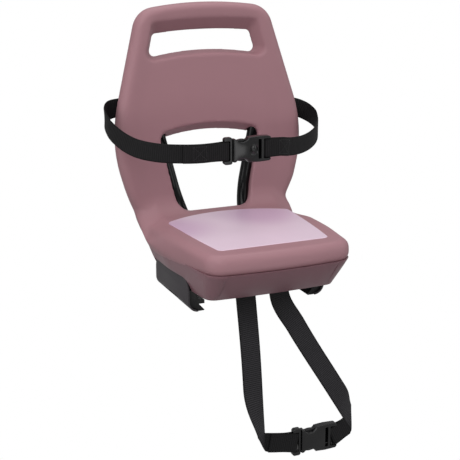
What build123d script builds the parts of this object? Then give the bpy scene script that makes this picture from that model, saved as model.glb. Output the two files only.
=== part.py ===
from build123d import *
import math
import os

# A child's seat for a bicycle's rear rack. Millimetres, +Z up, the seat faces -Y.
# The origin lies midway between the two rack rails, at the height of their axes.
# Left and right are as seen from the front.

# Moulded seat shell
SEAT_TOP_Z = 102.5
PARTING_Z = 71.5
SEAT_HALF = 131.0
SEAT_FRONT_Y = -166.0
NOSE_HALF = 112.0
NOSE_SIDE_Y = -158.0
NOSE_CORNER_R = 30.0
TAPER_START_Y = -10.0
TAPER_R = 250.0
BACK_TOP_Z = 423.5
BACK_LEAN = 6.2
BACK_FOOT_Y = 102.0
BACK_THICK = 29.0
BACK_CURVE_R = 1100.0
SHOULDER_HALF = 109.6
SHOULDER_Z = 414.0
SHOULDER_R = 38.0
HIP_HALF = 167.0
HIP_Z = 211.0
HIP_R = 220.0
KNEE_HALF = 137.0
KNEE_Z = 112.0
LAP_R = 34.0
HEEL_R = 75.0
RIM_R = 13.0

# Hand grip: half widths and heights of its mouth at the front and at the back
GRIP_HALF_LOW = 105.0
GRIP_HALF_HIGH = 92.0
GRIP_LOW_Z = 336.0
GRIP_HEIGHT = 69.0
GRIP_CORNER_R = 12.0
GRIP_REAR_HALF_LOW = 82.0
GRIP_REAR_HALF_HIGH = 77.0
GRIP_REAR_RISE = 7.5
GRIP_REAR_HEIGHT = 17.0
GRIP_REAR_CORNER_R = 6.5
GRIP_ARCH = 8.0
GRIP_EDGE_R = 5.0

# Window between the legs of the backrest
WINDOW_HALF_LOW = 61.0
WINDOW_HALF_HIGH = 87.0
WINDOW_SHOULDER_Z = 223.5
WINDOW_ARCH = 15.0
WINDOW_TOP_DROP = 20.0
WINDOW_CORNER_R = 15.0
WINDOW_FOOT_R = 22.0
WINDOW_REAR_R = 5.0
WINDOW_SILL = 0.2
SEAT_REAR_Y = 96.0

# Inlaid seat pad
PAD_FRONT_HALF = 87.0
PAD_REAR_HALF = 101.5
PAD_FRONT_Y = -128.0
PAD_REAR_Y = 40.0
PAD_REAR_BOW = 31.0
PAD_SIDE_BOW = 2.5
PAD_CORNER_R = 9.0
PAD_THICK = 4.0
PAD_PROUD = 0.8
PAD_EDGE_R = 0.7
PAD_GAP = 0.2

# Base tray
TRAY_FOOT_Z = 27.5
TRAY_INSET = 1.5
TRAY_REAR_Y = 72.0
TRAY_FOOT_REAR_Y = 77.0
TRAY_FOOT_HALF = 113.0
TRAY_FOOT_NOSE_HALF = 101.0
TRAY_FOOT_NOSE_Y = -121.0
TRAY_FOOT_FRONT_Y = -125.0
TRAY_FOOT_CORNER_R = 16.0
TRAY_REAR_R = 16.0
TRAY_WALL = 3.0
BOSS_R = 6.0

# Bent steel frame of the backrest
TUBE_R = 9.0
TUBE_WALL = 1.5
TUBE_FIT = 0.15
FRAME_RUN_HALF = 42.0
FRAME_RUN_Z = 55.5
FRAME_FRONT_Y = -60.0
FRAME_HEEL_Y = 115.0
FRAME_HEEL_R = 100.0
FRAME_TOP_HALF = 100.0
FRAME_TOP_Z = 300.0
FRAME_TOP_R = 45.0
FRAME_COVER = 7.0
CAP_FLANGE = 2.0
CAP_LENGTH = 12.0
CLIP_PLACES = (-20.0, 14.0)
CLIP_WIDTH = 8.0
CLIP_WALL = 1.8
CLIP_EAR = 8.0
CLIP_SCREW_R = 1.5
CRADLE_THICK = 11.0

# Rack clamps
CLAMP_HALF_LENGTH = 69.0
CLAMP_OUT_X = 112.0
CLAMP_TOP_Z = 44.5
CLAMP_LOW_Z = -6.0
CLAMP_BEND_R = 16.0
CLAMP_CORNER_R = 18.0
COVER_WALL = 2.5
COVER_SLOT_LENGTH = 37.0
COVER_SLOT_HEIGHT = 8.0
NOTCH_X = 94.0
NOTCH_Z = 5.0
JAW_TIP_X = 85.0
JAW_TOOTH = 5.5
JAW_BACK_X = 96.0
ARM_END_X = 45.0
ARM_PLACE_Y = 42.0
ARM_WIDTH = 24.0
ARM_THICK = 4.7
CLAMP_TRAVEL_IN = 24.0
CLAMP_TRAVEL_OUT = 6.0
CLAMP_SCREW_X = 62.0
CLAMP_SCREW_R = 3.0
RUN_GAP = 0.3
BAY_GAP = 1.5

# Screws that hold the tray to the shell
BASE_SCREW_PLACES = ((68.0, -98.0), (65.0, -2.0))
BASE_SCREW_R = 2.0
BASE_SCREW_HEAD_R = 4.0
BASE_SCREW_BITE = 18.0

# Webbing and its buckles
WEB_WIDTH = 30.0
WEB_THICK = 1.8
BUCKLE_THICK = 12.0
PLUG_LENGTH = 14.0
PLUG_WIDTH = 46.0
PLUG_THICK = 9.0
PRONG_LENGTH = 27.0
PRONG_WIDTH = 5.6
PRONG_THICK = 6.2
SOCKET_LENGTH = 62.0
SOCKET_MOUTH_HALF = 19.5
SOCKET_WAIST_HALF = 14.0
SOCKET_HALF = 22.0
SOCKET_CAVITY_HALF = 15.6
LADDER_X = 41.0
LADDER_SLOT = 5.0
LADDER_RIB = 4.0
WEB_BAR = 5.0
WEB_BAR_THICK = 5.0
BUCKLE_GAP = 0.4

# Waist belt, by the middle of the webbing, from its buckle round to the back
WAIST_MOUTH = (-9.0, 6.0, 214.0)
WAIST_LEFT_ROUTE = (
    (-58, 5, 214), (-92, 10, 215), (-124, 24, 217), (-149, 45, 222), (-166, 72, 233),
    (-174, 100, 247), (-171, 123, 259), (-159, 137, 265),
)
WAIST_RIGHT_ROUTE = (
    (66, 7, 213.5), (92, 16, 210), (120, 30, 208.5), (146, 47, 212), (165, 66, 218),
    (177, 88, 225), (181, 107, 233), (175, 125, 241), (160, 136.5, 248),
)
BELT_LEFT_X = -140.0
BELT_LEFT_Z = 267.0
BELT_RIGHT_X = 142.0
BELT_RIGHT_Z = 251.0
GUIDE_PLACE_X = 55.0
GUIDE_WIDTH = 24.0
GUIDE_HEIGHT = 52.0
GUIDE_WALL = 2.5
GUIDE_LIFT = 0.02
GUIDE_SCREW_R = 1.8
GUIDE_SCREW_BITE = 12.0

# Safety strap, in its own upright plane, as (x, z)
STRAP_Y = -88.0
STRAP_LEFT_X = -31.0
STRAP_RIGHT_X = 24.0
STRAP_ROD_R = 3.0
STRAP_ROD_HALF = 56.0
STRAP_ROD_Z = 44.0
STRAP_SPLIT_Z = 18.0
STRAP_LEFT_FOLD = (-1.0, -230.0)
STRAP_RIGHT_BOW = (119.0, -146.0)
STRAP_RIGHT_FOLD = (156.0, -232.0)
SAFETY_MOUTH_X = 68.0
SAFETY_MOUTH_Z = -239.0
STRAP_SLOT_LENGTH = 36.0
STRAP_SLOT_WIDTH = 6.0

slope = math.tan(math.radians(BACK_LEAN))
sill_z = SEAT_TOP_Z + WINDOW_SILL
reach = 2 * (BACK_TOP_Z + SEAT_HALF)
floor_z = TRAY_FOOT_Z + TRAY_WALL
bay_top_z = CLAMP_TOP_Z + BAY_GAP
bay_half = CLAMP_HALF_LENGTH + BAY_GAP
bay_in_x = CLAMP_OUT_X - COVER_WALL - CLAMP_TRAVEL_IN - BAY_GAP
frame_top_y = BACK_FOOT_Y + slope * (FRAME_TOP_Z - SEAT_TOP_Z) + BACK_THICK - FRAME_COVER - TUBE_R
arm_top_z = TRAY_FOOT_Z - RUN_GAP
web_half = WEB_WIDTH / 2
web_run_y = STRAP_Y + WEB_THICK
back_normal = (0, math.cos(math.radians(BACK_LEAN)), -math.sin(math.radians(BACK_LEAN)))


def front_y(z):
    """The backrest's front face at height z."""
    return BACK_FOOT_Y + slope * (z - SEAT_TOP_Z)


def rear_y(z):
    """The backrest's rear face at height z."""
    return front_y(z) + BACK_THICK


def wrap(x):
    """How far the backrest comes forward at x, since it curves round the child."""
    return BACK_CURVE_R - math.sqrt(BACK_CURVE_R ** 2 - x ** 2)


def both_sides(corners):
    """Corners (x, y, radius) of the right half, repeated on the left."""
    return [(side * x, y, radius) for x, y, radius in corners for side in (1, -1)]


def round_corners(outline, corners):
    """Round the corners of a flat outline, each given as (x, y, radius)."""
    for x, y, radius in corners:
        outline = fillet(outline.vertices().sort_by_distance((x, y, 0))[0], radius)
    return outline


def arched_face(right, crown):
    """A face mirrored from its right-hand points, closed by an arc through (0, crown)."""
    ring = right + [(-x, y) for x, y in reversed(right)]
    arch = ThreePointArc(ring[-1], (0, crown), ring[0])
    return make_face(Polyline(*ring).edges() + arch.edges())


def sharp_edges(solid, least_turn=25):
    """Edges where the two faces turn by more than least_turn degrees."""
    bounds = [(face, face.edges()) for face in solid.faces()]
    found = ShapeList()
    for edge in solid.edges():
        pair = [face for face, edges in bounds if any(edge.is_same(other) for other in edges)]
        middle = edge @ 0.5
        if len(pair) == 2 and pair[0].normal_at(middle).get_angle(pair[1].normal_at(middle)) > least_turn:
            found.append(edge)
    return found


def upright(y):
    """An upright plane at depth y, with x to the right and y up."""
    return Plane.XZ.offset(-y)


def rod(start, end, radius):
    """A round bar between two points."""
    axis = Vector(*end) - Vector(*start)
    return extrude(Plane(start, z_dir=axis) * Circle(radius), axis.length)


def block(low, high):
    """A box between two corners."""
    size = [b - a for a, b in zip(low, high)]
    middle = [(a + b) / 2 for a, b in zip(low, high)]
    return Pos(*middle) * Box(*size)


def mirror_x(part):
    """The same piece on the other side of the seat."""
    return mirror(part, about=Plane.YZ)


def seat_plan():
    """The seat's plan, open behind the backrest's foot."""
    nose, taper = (NOSE_HALF, NOSE_SIDE_Y), (SEAT_HALF, TAPER_START_Y)
    lap_start = (KNEE_HALF, BACK_FOOT_Y - 1.15 * LAP_R)
    plan = arched_face([nose, taper, lap_start, (reach, BACK_FOOT_Y), (reach, reach)], SEAT_FRONT_Y)
    return round_corners(plan, both_sides([(*nose, NOSE_CORNER_R), (*taper, TAPER_R)]))


def curved_block(side):
    """The side outline swept round an upright axis in front of the seat."""
    axis = Axis((0, rear_y(HIP_Z) - BACK_CURVE_R, 0), (0, 0, 1))
    half_turn = math.degrees(math.asin(1.3 * HIP_HALF / (BACK_CURVE_R - 2 * BACK_FOOT_Y + SEAT_FRONT_Y)))
    swept = revolve(Plane.YZ * side, axis=axis, revolution_arc=2 * half_turn)
    return swept.rotate(axis, -half_turn)


def shell_block():
    """The shell before its openings: side, front and plan outlines meet, and the rim is rounded."""
    high = BACK_TOP_Z + SHOULDER_R
    lap = (front_y(SEAT_TOP_Z), SEAT_TOP_Z)
    heel = (rear_y(PARTING_Z), PARTING_Z)
    nose_y = 1.5 * SEAT_FRONT_Y
    side = make_face(Polyline(
        (front_y(high), high), lap, (nose_y, SEAT_TOP_Z), (nose_y, PARTING_Z), heel, (rear_y(high), high),
        close=True,
    ))
    side = round_corners(side, [(*lap, LAP_R), (*heel, HEEL_R)])
    knee_turn = math.atan2(HIP_HALF - KNEE_HALF, HIP_Z - KNEE_Z)
    knee_r = 0.95 * (KNEE_Z - SEAT_TOP_Z) / math.tan(knee_turn / 2)
    shoulder, hip, knee = (SHOULDER_HALF, SHOULDER_Z), (HIP_HALF, HIP_Z), (KNEE_HALF, KNEE_Z)
    front = arched_face([shoulder, hip, knee, (KNEE_HALF, 0)], BACK_TOP_Z)
    front = round_corners(front, both_sides([(*shoulder, SHOULDER_R), (*hip, HIP_R), (*knee, knee_r)]))
    body = curved_block(side) & extrude(Plane.XZ * front, reach, both=True)
    body = (body & extrude(seat_plan(), reach)).solids()[0]
    rim = [edge for edge in sharp_edges(body) if edge.bounding_box().max.Z > PARTING_Z + 1]
    return fillet(rim, RIM_R)


def grip_face(y, half_low, half_high, low, height, corner):
    """The hand grip's outline at depth y, with arched long sides."""
    high = low + height
    sides = [Line((s * half_low, low), (s * half_high, high)) for s in (1, -1)]
    spans = ((half_low, low), (half_high, high))
    arches = [ThreePointArc((-half, z), (0, z + GRIP_ARCH), (half, z)) for half, z in spans]
    outline = make_face([line.edge() for line in sides + arches])
    corners = both_sides([(half_low, low, corner), (half_high, high, corner)])
    return upright(y) * round_corners(outline, corners)


def window_face(y):
    """The window's outline at depth y: its arched top drops towards the back."""
    drop = WINDOW_TOP_DROP * (y - front_y(WINDOW_SHOULDER_Z)) / BACK_THICK
    shoulder, foot = (WINDOW_HALF_HIGH, WINDOW_SHOULDER_Z - drop), (WINDOW_HALF_LOW, sill_z)
    outline = arched_face([shoulder, foot], shoulder[1] + WINDOW_ARCH)
    return upright(y) * round_corners(
        outline, both_sides([(*shoulder, WINDOW_CORNER_R), (*foot, WINDOW_FOOT_R)])
    )


def pad_outline(grow):
    """The seat pad's plan: bowed sides and a bowed rear edge, grown by a margin."""
    front = (PAD_FRONT_HALF + grow, PAD_FRONT_Y - grow)
    rear = (PAD_REAR_HALF + grow, PAD_REAR_Y + grow)
    side_mid = ((front[0] + rear[0]) / 2 + PAD_SIDE_BOW, (front[1] + rear[1]) / 2)
    sides = [
        ThreePointArc((s * front[0], front[1]), (s * side_mid[0], side_mid[1]), (s * rear[0], rear[1]))
        for s in (1, -1)
    ]
    back = ThreePointArc((-rear[0], rear[1]), (0, rear[1] + PAD_REAR_BOW), rear)
    nose = Line((-front[0], front[1]), front)
    outline = make_face([line.edge() for line in (*sides, back, nose)])
    return round_corners(outline, both_sides([(*front, PAD_CORNER_R), (*rear, PAD_CORNER_R)]))


def frame_path():
    """The frame's centre line: from the left end under the seat, over the top, to the right end."""
    left = [
        (-FRAME_RUN_HALF, FRAME_FRONT_Y, FRAME_RUN_Z), (-FRAME_RUN_HALF, FRAME_HEEL_Y, FRAME_RUN_Z),
        (-FRAME_TOP_HALF, frame_top_y, FRAME_TOP_Z),
    ]
    points = left + [(-x, y, z) for x, y, z in reversed(left)]
    return FilletPolyline(*points, radius=[FRAME_HEEL_R, FRAME_TOP_R, FRAME_TOP_R, FRAME_HEEL_R])


def frame_bar(radius):
    """A round bar along the frame's centre line."""
    path = frame_path()
    return sweep(Plane(path @ 0, z_dir=path % 0) * Circle(radius), path=path)


def base_screw_places():
    return [(s * x, y) for x, y in BASE_SCREW_PLACES for s in (1, -1)]


def guide_planes():
    """Planes on the backrest's rear face, where the two belt guides sit."""
    planes = []
    for x in (-GUIDE_PLACE_X, GUIDE_PLACE_X):
        z = belt_height(x)
        turn = -math.degrees(math.asin(x / BACK_CURVE_R))
        across, outward = [Vector(*way).rotate(Axis.Z, turn) for way in ((-1, 0, 0), back_normal)]
        planes.append(Plane((x, rear_y(z) - wrap(x) + GUIDE_LIFT, z), x_dir=across, z_dir=outward))
    return planes


def guide_screw_spots():
    return [(0, s * (GUIDE_HEIGHT / 2 - 5)) for s in (1, -1)]


def seat_shell():
    """The moulded foam shell: seat and backrest in one, with grip, window and pad recess."""
    body = shell_block()
    grip_z = GRIP_LOW_Z + GRIP_HEIGHT / 2
    grip = loft([
        grip_face(
            front_y(grip_z) - 8, GRIP_HALF_LOW, GRIP_HALF_HIGH, GRIP_LOW_Z, GRIP_HEIGHT, GRIP_CORNER_R,
        ),
        grip_face(
            rear_y(grip_z) + 6, GRIP_REAR_HALF_LOW, GRIP_REAR_HALF_HIGH, GRIP_LOW_Z + GRIP_REAR_RISE,
            GRIP_REAR_HEIGHT, GRIP_REAR_CORNER_R,
        ),
    ], ruled=True)
    window_ends = (BACK_FOOT_Y - 1.3 * LAP_R, rear_y(WINDOW_SHOULDER_Z) + 8)
    window = loft([window_face(y) for y in window_ends], ruled=True)
    notch_half = WINDOW_HALF_LOW - WINDOW_FOOT_R / 3
    notch = block((-notch_half, SEAT_REAR_Y, 0), (notch_half, reach, sill_z))
    body = (body - grip - window - notch).solids()[0]
    grip_edges = [
        edge for edge in sharp_edges(body)
        if abs(edge.center().Z - grip_z) < GRIP_HEIGHT / 2 + 12 and abs(edge.center().X) < GRIP_HALF_LOW + 4
    ]
    body = fillet(grip_edges, GRIP_EDGE_R).solids()[0]
    rear_edges = [
        edge for edge in sharp_edges(body)
        if SEAT_TOP_Z + 1 < edge.center().Z < GRIP_LOW_Z - 20 and abs(edge.center().X) < WINDOW_HALF_HIGH + 5
        and edge.center().Y > min(rear_y(edge.center().Z) - 8, 0.9 * rear_y(SEAT_TOP_Z))
    ]
    body = fillet(rear_edges, WINDOW_REAR_R)
    body -= frame_bar(TUBE_R + TUBE_FIT)
    body -= Pos(0, 0, SEAT_TOP_Z + PAD_PROUD - PAD_THICK) * extrude(pad_outline(PAD_GAP), PAD_THICK + LAP_R)
    for x, y in base_screw_places():
        body -= rod((x, y, 0), (x, y, PARTING_Z + BASE_SCREW_BITE), BASE_SCREW_R)
    for plane in guide_planes():
        for spot in guide_screw_spots():
            body -= plane * Pos(*spot) * Cylinder(GUIDE_SCREW_R, 2 * GUIDE_SCREW_BITE)
    return body


def seat_pad():
    """The soft inlay in the seat, a little proud, with an eased top edge."""
    pad = Pos(0, 0, SEAT_TOP_Z + PAD_PROUD - PAD_THICK) * extrude(pad_outline(0), PAD_THICK)
    return fillet(pad.faces().sort_by(Axis.Z)[-1].edges(), PAD_EDGE_R)


def tray_outline(z, inset):
    """The tray's plan at its parting line or at its foot, inset by a wall."""
    if z > floor_z:
        nose = (NOSE_HALF - TRAY_INSET, NOSE_SIDE_Y + TRAY_INSET)
        side, rear = SEAT_HALF - TRAY_INSET, TRAY_REAR_Y
        crown, corner = SEAT_FRONT_Y + TRAY_INSET, NOSE_CORNER_R
    else:
        nose = (TRAY_FOOT_NOSE_HALF, TRAY_FOOT_NOSE_Y)
        side, rear = TRAY_FOOT_HALF, TRAY_FOOT_REAR_Y
        crown, corner = TRAY_FOOT_FRONT_Y, TRAY_FOOT_CORNER_R
    nose = (nose[0] - inset, nose[1] + inset)
    taper, back = (side - inset, TAPER_START_Y), (side - inset, rear - inset)
    outline = arched_face([nose, taper, back], crown + inset)
    corners = both_sides([(*nose, corner - inset), (*taper, TAPER_R), (*back, TRAY_REAR_R - inset)])
    return Pos(0, 0, z) * round_corners(outline, corners)


def clamp_bay(grow):
    """The right-hand bay that a clamp slides into, grown by a wall."""
    height = bay_top_z + grow - TRAY_FOOT_Z
    profile = RectangleRounded(2 * (bay_half + grow), 2 * height, CLAMP_CORNER_R + grow)
    start = Plane.YZ.offset(bay_in_x - grow) * Pos(0, TRAY_FOOT_Z)
    return extrude(start * profile, reach)


def base_tray():
    """The hard tray under the shell: walls, floor, clamp bays, tube cradles, bosses and strap slots."""
    outside = loft([tray_outline(TRAY_FOOT_Z, 0), tray_outline(PARTING_Z, 0)], ruled=True)
    inside = loft([tray_outline(TRAY_FOOT_Z, TRAY_WALL), tray_outline(PARTING_Z, TRAY_WALL)], ruled=True)
    tray = outside - (inside & block((-reach, -reach, floor_z), (reach, reach, reach)))
    furniture = []
    for x, y in base_screw_places():
        furniture.append(rod((x, y, TRAY_FOOT_Z), (x, y, PARTING_Z), BOSS_R))
    for side in (1, -1):
        for y in (ARM_PLACE_Y, -ARM_PLACE_Y):
            spot = (side * CLAMP_SCREW_X, y)
            furniture.append(rod((*spot, TRAY_FOOT_Z), (*spot, bay_top_z), BOSS_R))
        for y in CLIP_PLACES:
            half = TUBE_R + CLIP_WALL + CLIP_EAR
            furniture.append(block(
                (side * FRAME_RUN_HALF - half, y - CRADLE_THICK / 2, TRAY_FOOT_Z),
                (side * FRAME_RUN_HALF + half, y + CRADLE_THICK / 2, FRAME_RUN_Z),
            ))
        rib = side * (STRAP_ROD_HALF - TRAY_WALL)
        furniture.append(block(
            (rib - TRAY_WALL, STRAP_Y - 3 * STRAP_ROD_R, TRAY_FOOT_Z),
            (rib + TRAY_WALL, STRAP_Y + 3 * STRAP_ROD_R, STRAP_ROD_Z + 2 * STRAP_ROD_R),
        ))
    bay_wall = clamp_bay(TRAY_WALL) & outside
    for piece in furniture + [bay_wall, mirror_x(bay_wall)]:
        tray += piece
    for cut in (clamp_bay(0), mirror_x(clamp_bay(0)), frame_bar(TUBE_R + TUBE_FIT)):
        tray -= cut
    tray -= strap_bar(STRAP_ROD_R + TUBE_FIT)
    for x, y in base_screw_places():
        tray -= rod((x, y, 0), (x, y, reach), BASE_SCREW_R)
        tray -= rod((x, y, 0), (x, y, floor_z), BASE_SCREW_HEAD_R + RUN_GAP)
    for side in (1, -1):
        for y in (ARM_PLACE_Y, -ARM_PLACE_Y):
            spot = (side * CLAMP_SCREW_X, y)
            tray -= rod((*spot, 0), (*spot, bay_top_z - TRAY_WALL), CLAMP_SCREW_R)
        for y in CLIP_PLACES:
            for x in clip_screw_xs(side):
                tray -= rod((x, y, floor_z), (x, y, reach), CLIP_SCREW_R)
        middle = STRAP_RIGHT_X if side > 0 else STRAP_LEFT_X
        tray -= block(
            (middle - STRAP_SLOT_LENGTH / 2, STRAP_Y - STRAP_SLOT_WIDTH / 2, 0),
            (middle + STRAP_SLOT_LENGTH / 2, STRAP_Y + STRAP_SLOT_WIDTH / 2, floor_z + 1),
        )
    return tray


def base_screws():
    """Countersunk screws from under the tray into the shell."""
    screws = []
    for x, y in base_screw_places():
        head = rod((x, y, TRAY_FOOT_Z + 0.5), (x, y, floor_z), BASE_SCREW_HEAD_R)
        shank = rod((x, y, floor_z), (x, y, PARTING_Z + BASE_SCREW_BITE - 1), BASE_SCREW_R)
        screws.append(head + shank)
    return Compound(screws)


def back_frame():
    """The bent tube that carries the backrest."""
    return frame_bar(TUBE_R) - frame_bar(TUBE_R - TUBE_WALL)


def frame_caps():
    """Plugs in the two open ends of the frame."""
    caps = []
    for side in (-1, 1):
        end = (side * FRAME_RUN_HALF, FRAME_FRONT_Y, FRAME_RUN_Z)
        flange = rod((end[0], end[1] - CAP_FLANGE, end[2]), end, TUBE_R)
        caps.append(flange + rod(end, (end[0], end[1] + CAP_LENGTH, end[2]), TUBE_R - TUBE_WALL))
    return Compound(caps)


def clip_screw_xs(side):
    """The two screws of a tube clip, either side of the tube."""
    step = TUBE_R + CLIP_WALL + CLIP_EAR / 2
    return [side * FRAME_RUN_HALF - step, side * FRAME_RUN_HALF + step]


def frame_clips():
    """Saddle clips that hold the frame down in its cradles."""
    clips = []
    for side in (-1, 1):
        for y in CLIP_PLACES:
            half = TUBE_R + CLIP_WALL
            ring = Circle(half) - Circle(TUBE_R + TUBE_FIT)
            arch = ring & Pos(0, half) * Rectangle(2 * half, 2 * half)
            ear = Rectangle(CLIP_EAR + 0.6, CLIP_WALL)
            profile = arch + [Pos(s * (half + CLIP_EAR / 2 - 0.3), CLIP_WALL / 2) * ear for s in (1, -1)]
            plane = upright(y - CLIP_WIDTH / 2) * Pos(side * FRAME_RUN_HALF, FRAME_RUN_Z)
            clip = extrude(plane * profile, -CLIP_WIDTH)
            for x in clip_screw_xs(side):
                clip -= rod((x, y, FRAME_RUN_Z), (x, y, reach), CLIP_SCREW_R)
            clips.append(clip)
    return Compound([solid for clip in clips for solid in clip.solids()])


def clip_screws():
    """Pan-head screws through the clips' ears."""
    screws = []
    for side in (-1, 1):
        for y in CLIP_PLACES:
            for x in clip_screw_xs(side):
                seat = FRAME_RUN_Z + CLIP_WALL
                shank = rod((x, y, floor_z + 6), (x, y, seat), CLIP_SCREW_R)
                screws.append(shank + rod((x, y, seat), (x, y, seat + 2), 2 * CLIP_SCREW_R))
    return Compound(screws)


def cover_profile(inset):
    """The clamp's outer line, moved inwards: down the side and round the bend at its foot."""
    bend = CLAMP_BEND_R
    centre = (CLAMP_OUT_X - bend, CLAMP_LOW_Z + bend)
    radius = bend - inset
    turn = math.radians(-45)
    return [
        Line((CLAMP_OUT_X - inset, CLAMP_TOP_Z), (CLAMP_OUT_X - inset, centre[1])),
        ThreePointArc(
            (centre[0] + radius, centre[1]),
            (centre[0] + radius * math.cos(turn), centre[1] + radius * math.sin(turn)),
            (centre[0], centre[1] - radius),
        ),
    ]


def clamp_cover():
    """The right-hand clamp's outer plate, bent under at its foot, with a slot in the bend."""
    outer, inner = cover_profile(0), cover_profile(COVER_WALL)
    ends = [Line(outer[0] @ 0, inner[0] @ 0), Line(outer[1] @ 1, inner[1] @ 1)]
    profile = make_face([line.edge() for line in outer + inner + ends])
    plate = extrude(upright(0) * profile, CLAMP_HALF_LENGTH, both=True)
    trim = RectangleRounded(2 * CLAMP_HALF_LENGTH, 2 * (CLAMP_TOP_Z + reach / 4), CLAMP_CORNER_R)
    plate &= extrude(Plane.YZ * Pos(0, -reach / 4) * trim, reach)
    slot_z = CLAMP_LOW_Z + 0.45 * CLAMP_BEND_R
    slot = Plane.YZ.offset(JAW_BACK_X) * Pos(0, slot_z) * SlotOverall(COVER_SLOT_LENGTH, COVER_SLOT_HEIGHT)
    return plate - extrude(slot, reach)


def clamp_jaw():
    """The right-hand jaw: a V notch for the rack rail and two slotted arms under the tray."""
    line, bend = cover_profile(COVER_WALL)
    top = Line((JAW_BACK_X, arm_top_z), (CLAMP_OUT_X - COVER_WALL, arm_top_z))
    side = Line(top @ 1, line @ 1)
    nose = Polyline(
        bend @ 1, (NOTCH_X + 1, CLAMP_LOW_Z + COVER_WALL), (NOTCH_X + 1, CLAMP_LOW_Z),
        (JAW_TIP_X + 1, CLAMP_LOW_Z), (JAW_TIP_X, CLAMP_LOW_Z + 1), (NOTCH_X, NOTCH_Z),
        (JAW_TIP_X, NOTCH_Z), (JAW_TIP_X, NOTCH_Z + JAW_TOOTH),
        (JAW_BACK_X - 2, NOTCH_Z + JAW_TOOTH + 2), (JAW_BACK_X, NOTCH_Z + JAW_TOOTH + 6), top @ 0,
    )
    profile = make_face([top.edge(), side.edge(), bend.edge()] + list(nose.edges()))
    jaw = extrude(upright(0) * profile, CLAMP_HALF_LENGTH - COVER_WALL, both=True)
    for y in (ARM_PLACE_Y, -ARM_PLACE_Y):
        jaw += block(
            (ARM_END_X, y - ARM_WIDTH / 2, arm_top_z - ARM_THICK),
            (JAW_BACK_X + 2, y + ARM_WIDTH / 2, arm_top_z),
        )
        inner, outer = CLAMP_SCREW_X - CLAMP_TRAVEL_OUT, CLAMP_SCREW_X + CLAMP_TRAVEL_IN
        width = 2 * (CLAMP_SCREW_R + 0.5)
        slot = Pos((inner + outer) / 2, y) * SlotOverall(outer - inner + width + 1, width)
        jaw -= extrude(slot, arm_top_z + 1)
    return jaw


def clamp_fixings():
    """The clamps' screws and washers, under the arms: screws first."""
    screws, washers = [], []
    low = arm_top_z - ARM_THICK - RUN_GAP
    for side in (-1, 1):
        for y in (ARM_PLACE_Y, -ARM_PLACE_Y):
            x = side * CLAMP_SCREW_X
            washer = rod((x, y, low - 1.6), (x, y, low), 3 * CLAMP_SCREW_R)
            washers.append(washer - rod((x, y, 0), (x, y, low), CLAMP_SCREW_R))
            head = Pos(x, y, low - 5.6) * extrude(RegularPolygon(5.5, 6), 4)
            screws.append(head + rod((x, y, low - 1.6), (x, y, bay_top_z - TRAY_WALL - 1), CLAMP_SCREW_R))
    return Compound(screws), Compound(washers)


def webbing(points, end_along=None):
    """Flat webbing along a line of points, its width kept as upright as the line allows."""
    route = [Vector(*point) for point in points]
    rings = []
    for i, here in enumerate(route):
        along = (route[min(i + 1, len(route) - 1)] - route[max(i - 1, 0)]).normalized()
        if end_along is not None and i == len(route) - 1:
            along = end_along
        up = (Vector(0, 0, 1) - along * along.Z).normalized() * web_half
        out = along.cross(up).normalized() * (WEB_THICK / 2)
        rings.append(Wire.make_polygon([here + up + out, here + up - out, here - up - out, here - up + out]))
    return Solid.make_loft(rings, ruled=True)


def web_loop(bar_x):
    """Webbing turned round a buckle's bar and sewn back on itself, in the buckle's own frame."""
    long, deep = WEB_BAR + 2 * BUCKLE_GAP, WEB_BAR_THICK + 2 * BUCKLE_GAP
    outer = RectangleRounded(long + 2 * WEB_THICK, deep + 2 * WEB_THICK, WEB_THICK + 1.2)
    ring = outer - RectangleRounded(long, deep, 1.2)
    return extrude(Plane.XZ * Pos(bar_x, 0) * ring, web_half, both=True)


def buckle_plane(mouth):
    """A buckle's frame: x along the webbing, y up its width, z out to the front."""
    return Plane(mouth, x_dir=(1, 0, 0), z_dir=(0, -1, 0))


plug_bar_x = -1 - PLUG_LENGTH + WEB_BAR / 2
socket_bar_x = SOCKET_LENGTH - WEB_BAR / 2
loop_reach = WEB_BAR / 2 + BUCKLE_GAP + WEB_THICK


def buckle_plug():
    """The plug: a framed bar for the webbing, two prongs and a guide tongue."""
    base = Pos(-1 - PLUG_LENGTH / 2, 0) * RectangleRounded(PLUG_LENGTH, PLUG_WIDTH, 4)
    plug = extrude(base, PLUG_THICK / 2, both=True)
    plug = fillet(plug.edges().group_by(Axis.Z)[-1] + plug.edges().group_by(Axis.Z)[0], 1.5)
    gap_low = plug_bar_x + WEB_BAR / 2
    window = block((gap_low, -web_half - 1.5, -PLUG_THICK), (-5, web_half + 1.5, PLUG_THICK))
    plug -= window
    for s in (1, -1):
        low, high = sorted((s * WEB_BAR_THICK / 2, s * PLUG_THICK))
        plug -= block((-2 * PLUG_LENGTH, -web_half - 1.5, low), (gap_low, web_half + 1.5, high))
    prong_out = SOCKET_CAVITY_HALF - BUCKLE_GAP
    prong = RectangleRounded(PRONG_LENGTH + 4, PRONG_WIDTH, 2.5)
    for s in (1, -1):
        place = Pos(PRONG_LENGTH / 2 - 2, s * (prong_out - PRONG_WIDTH / 2))
        plug += extrude(place * prong, PRONG_THICK / 2, both=True)
    tongue = Pos(PRONG_LENGTH / 3 - 2, 0) * RectangleRounded(2 * PRONG_LENGTH / 3 + 4, PRONG_WIDTH, 2)
    return plug + extrude(tongue, PRONG_THICK / 2, both=True)


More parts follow.
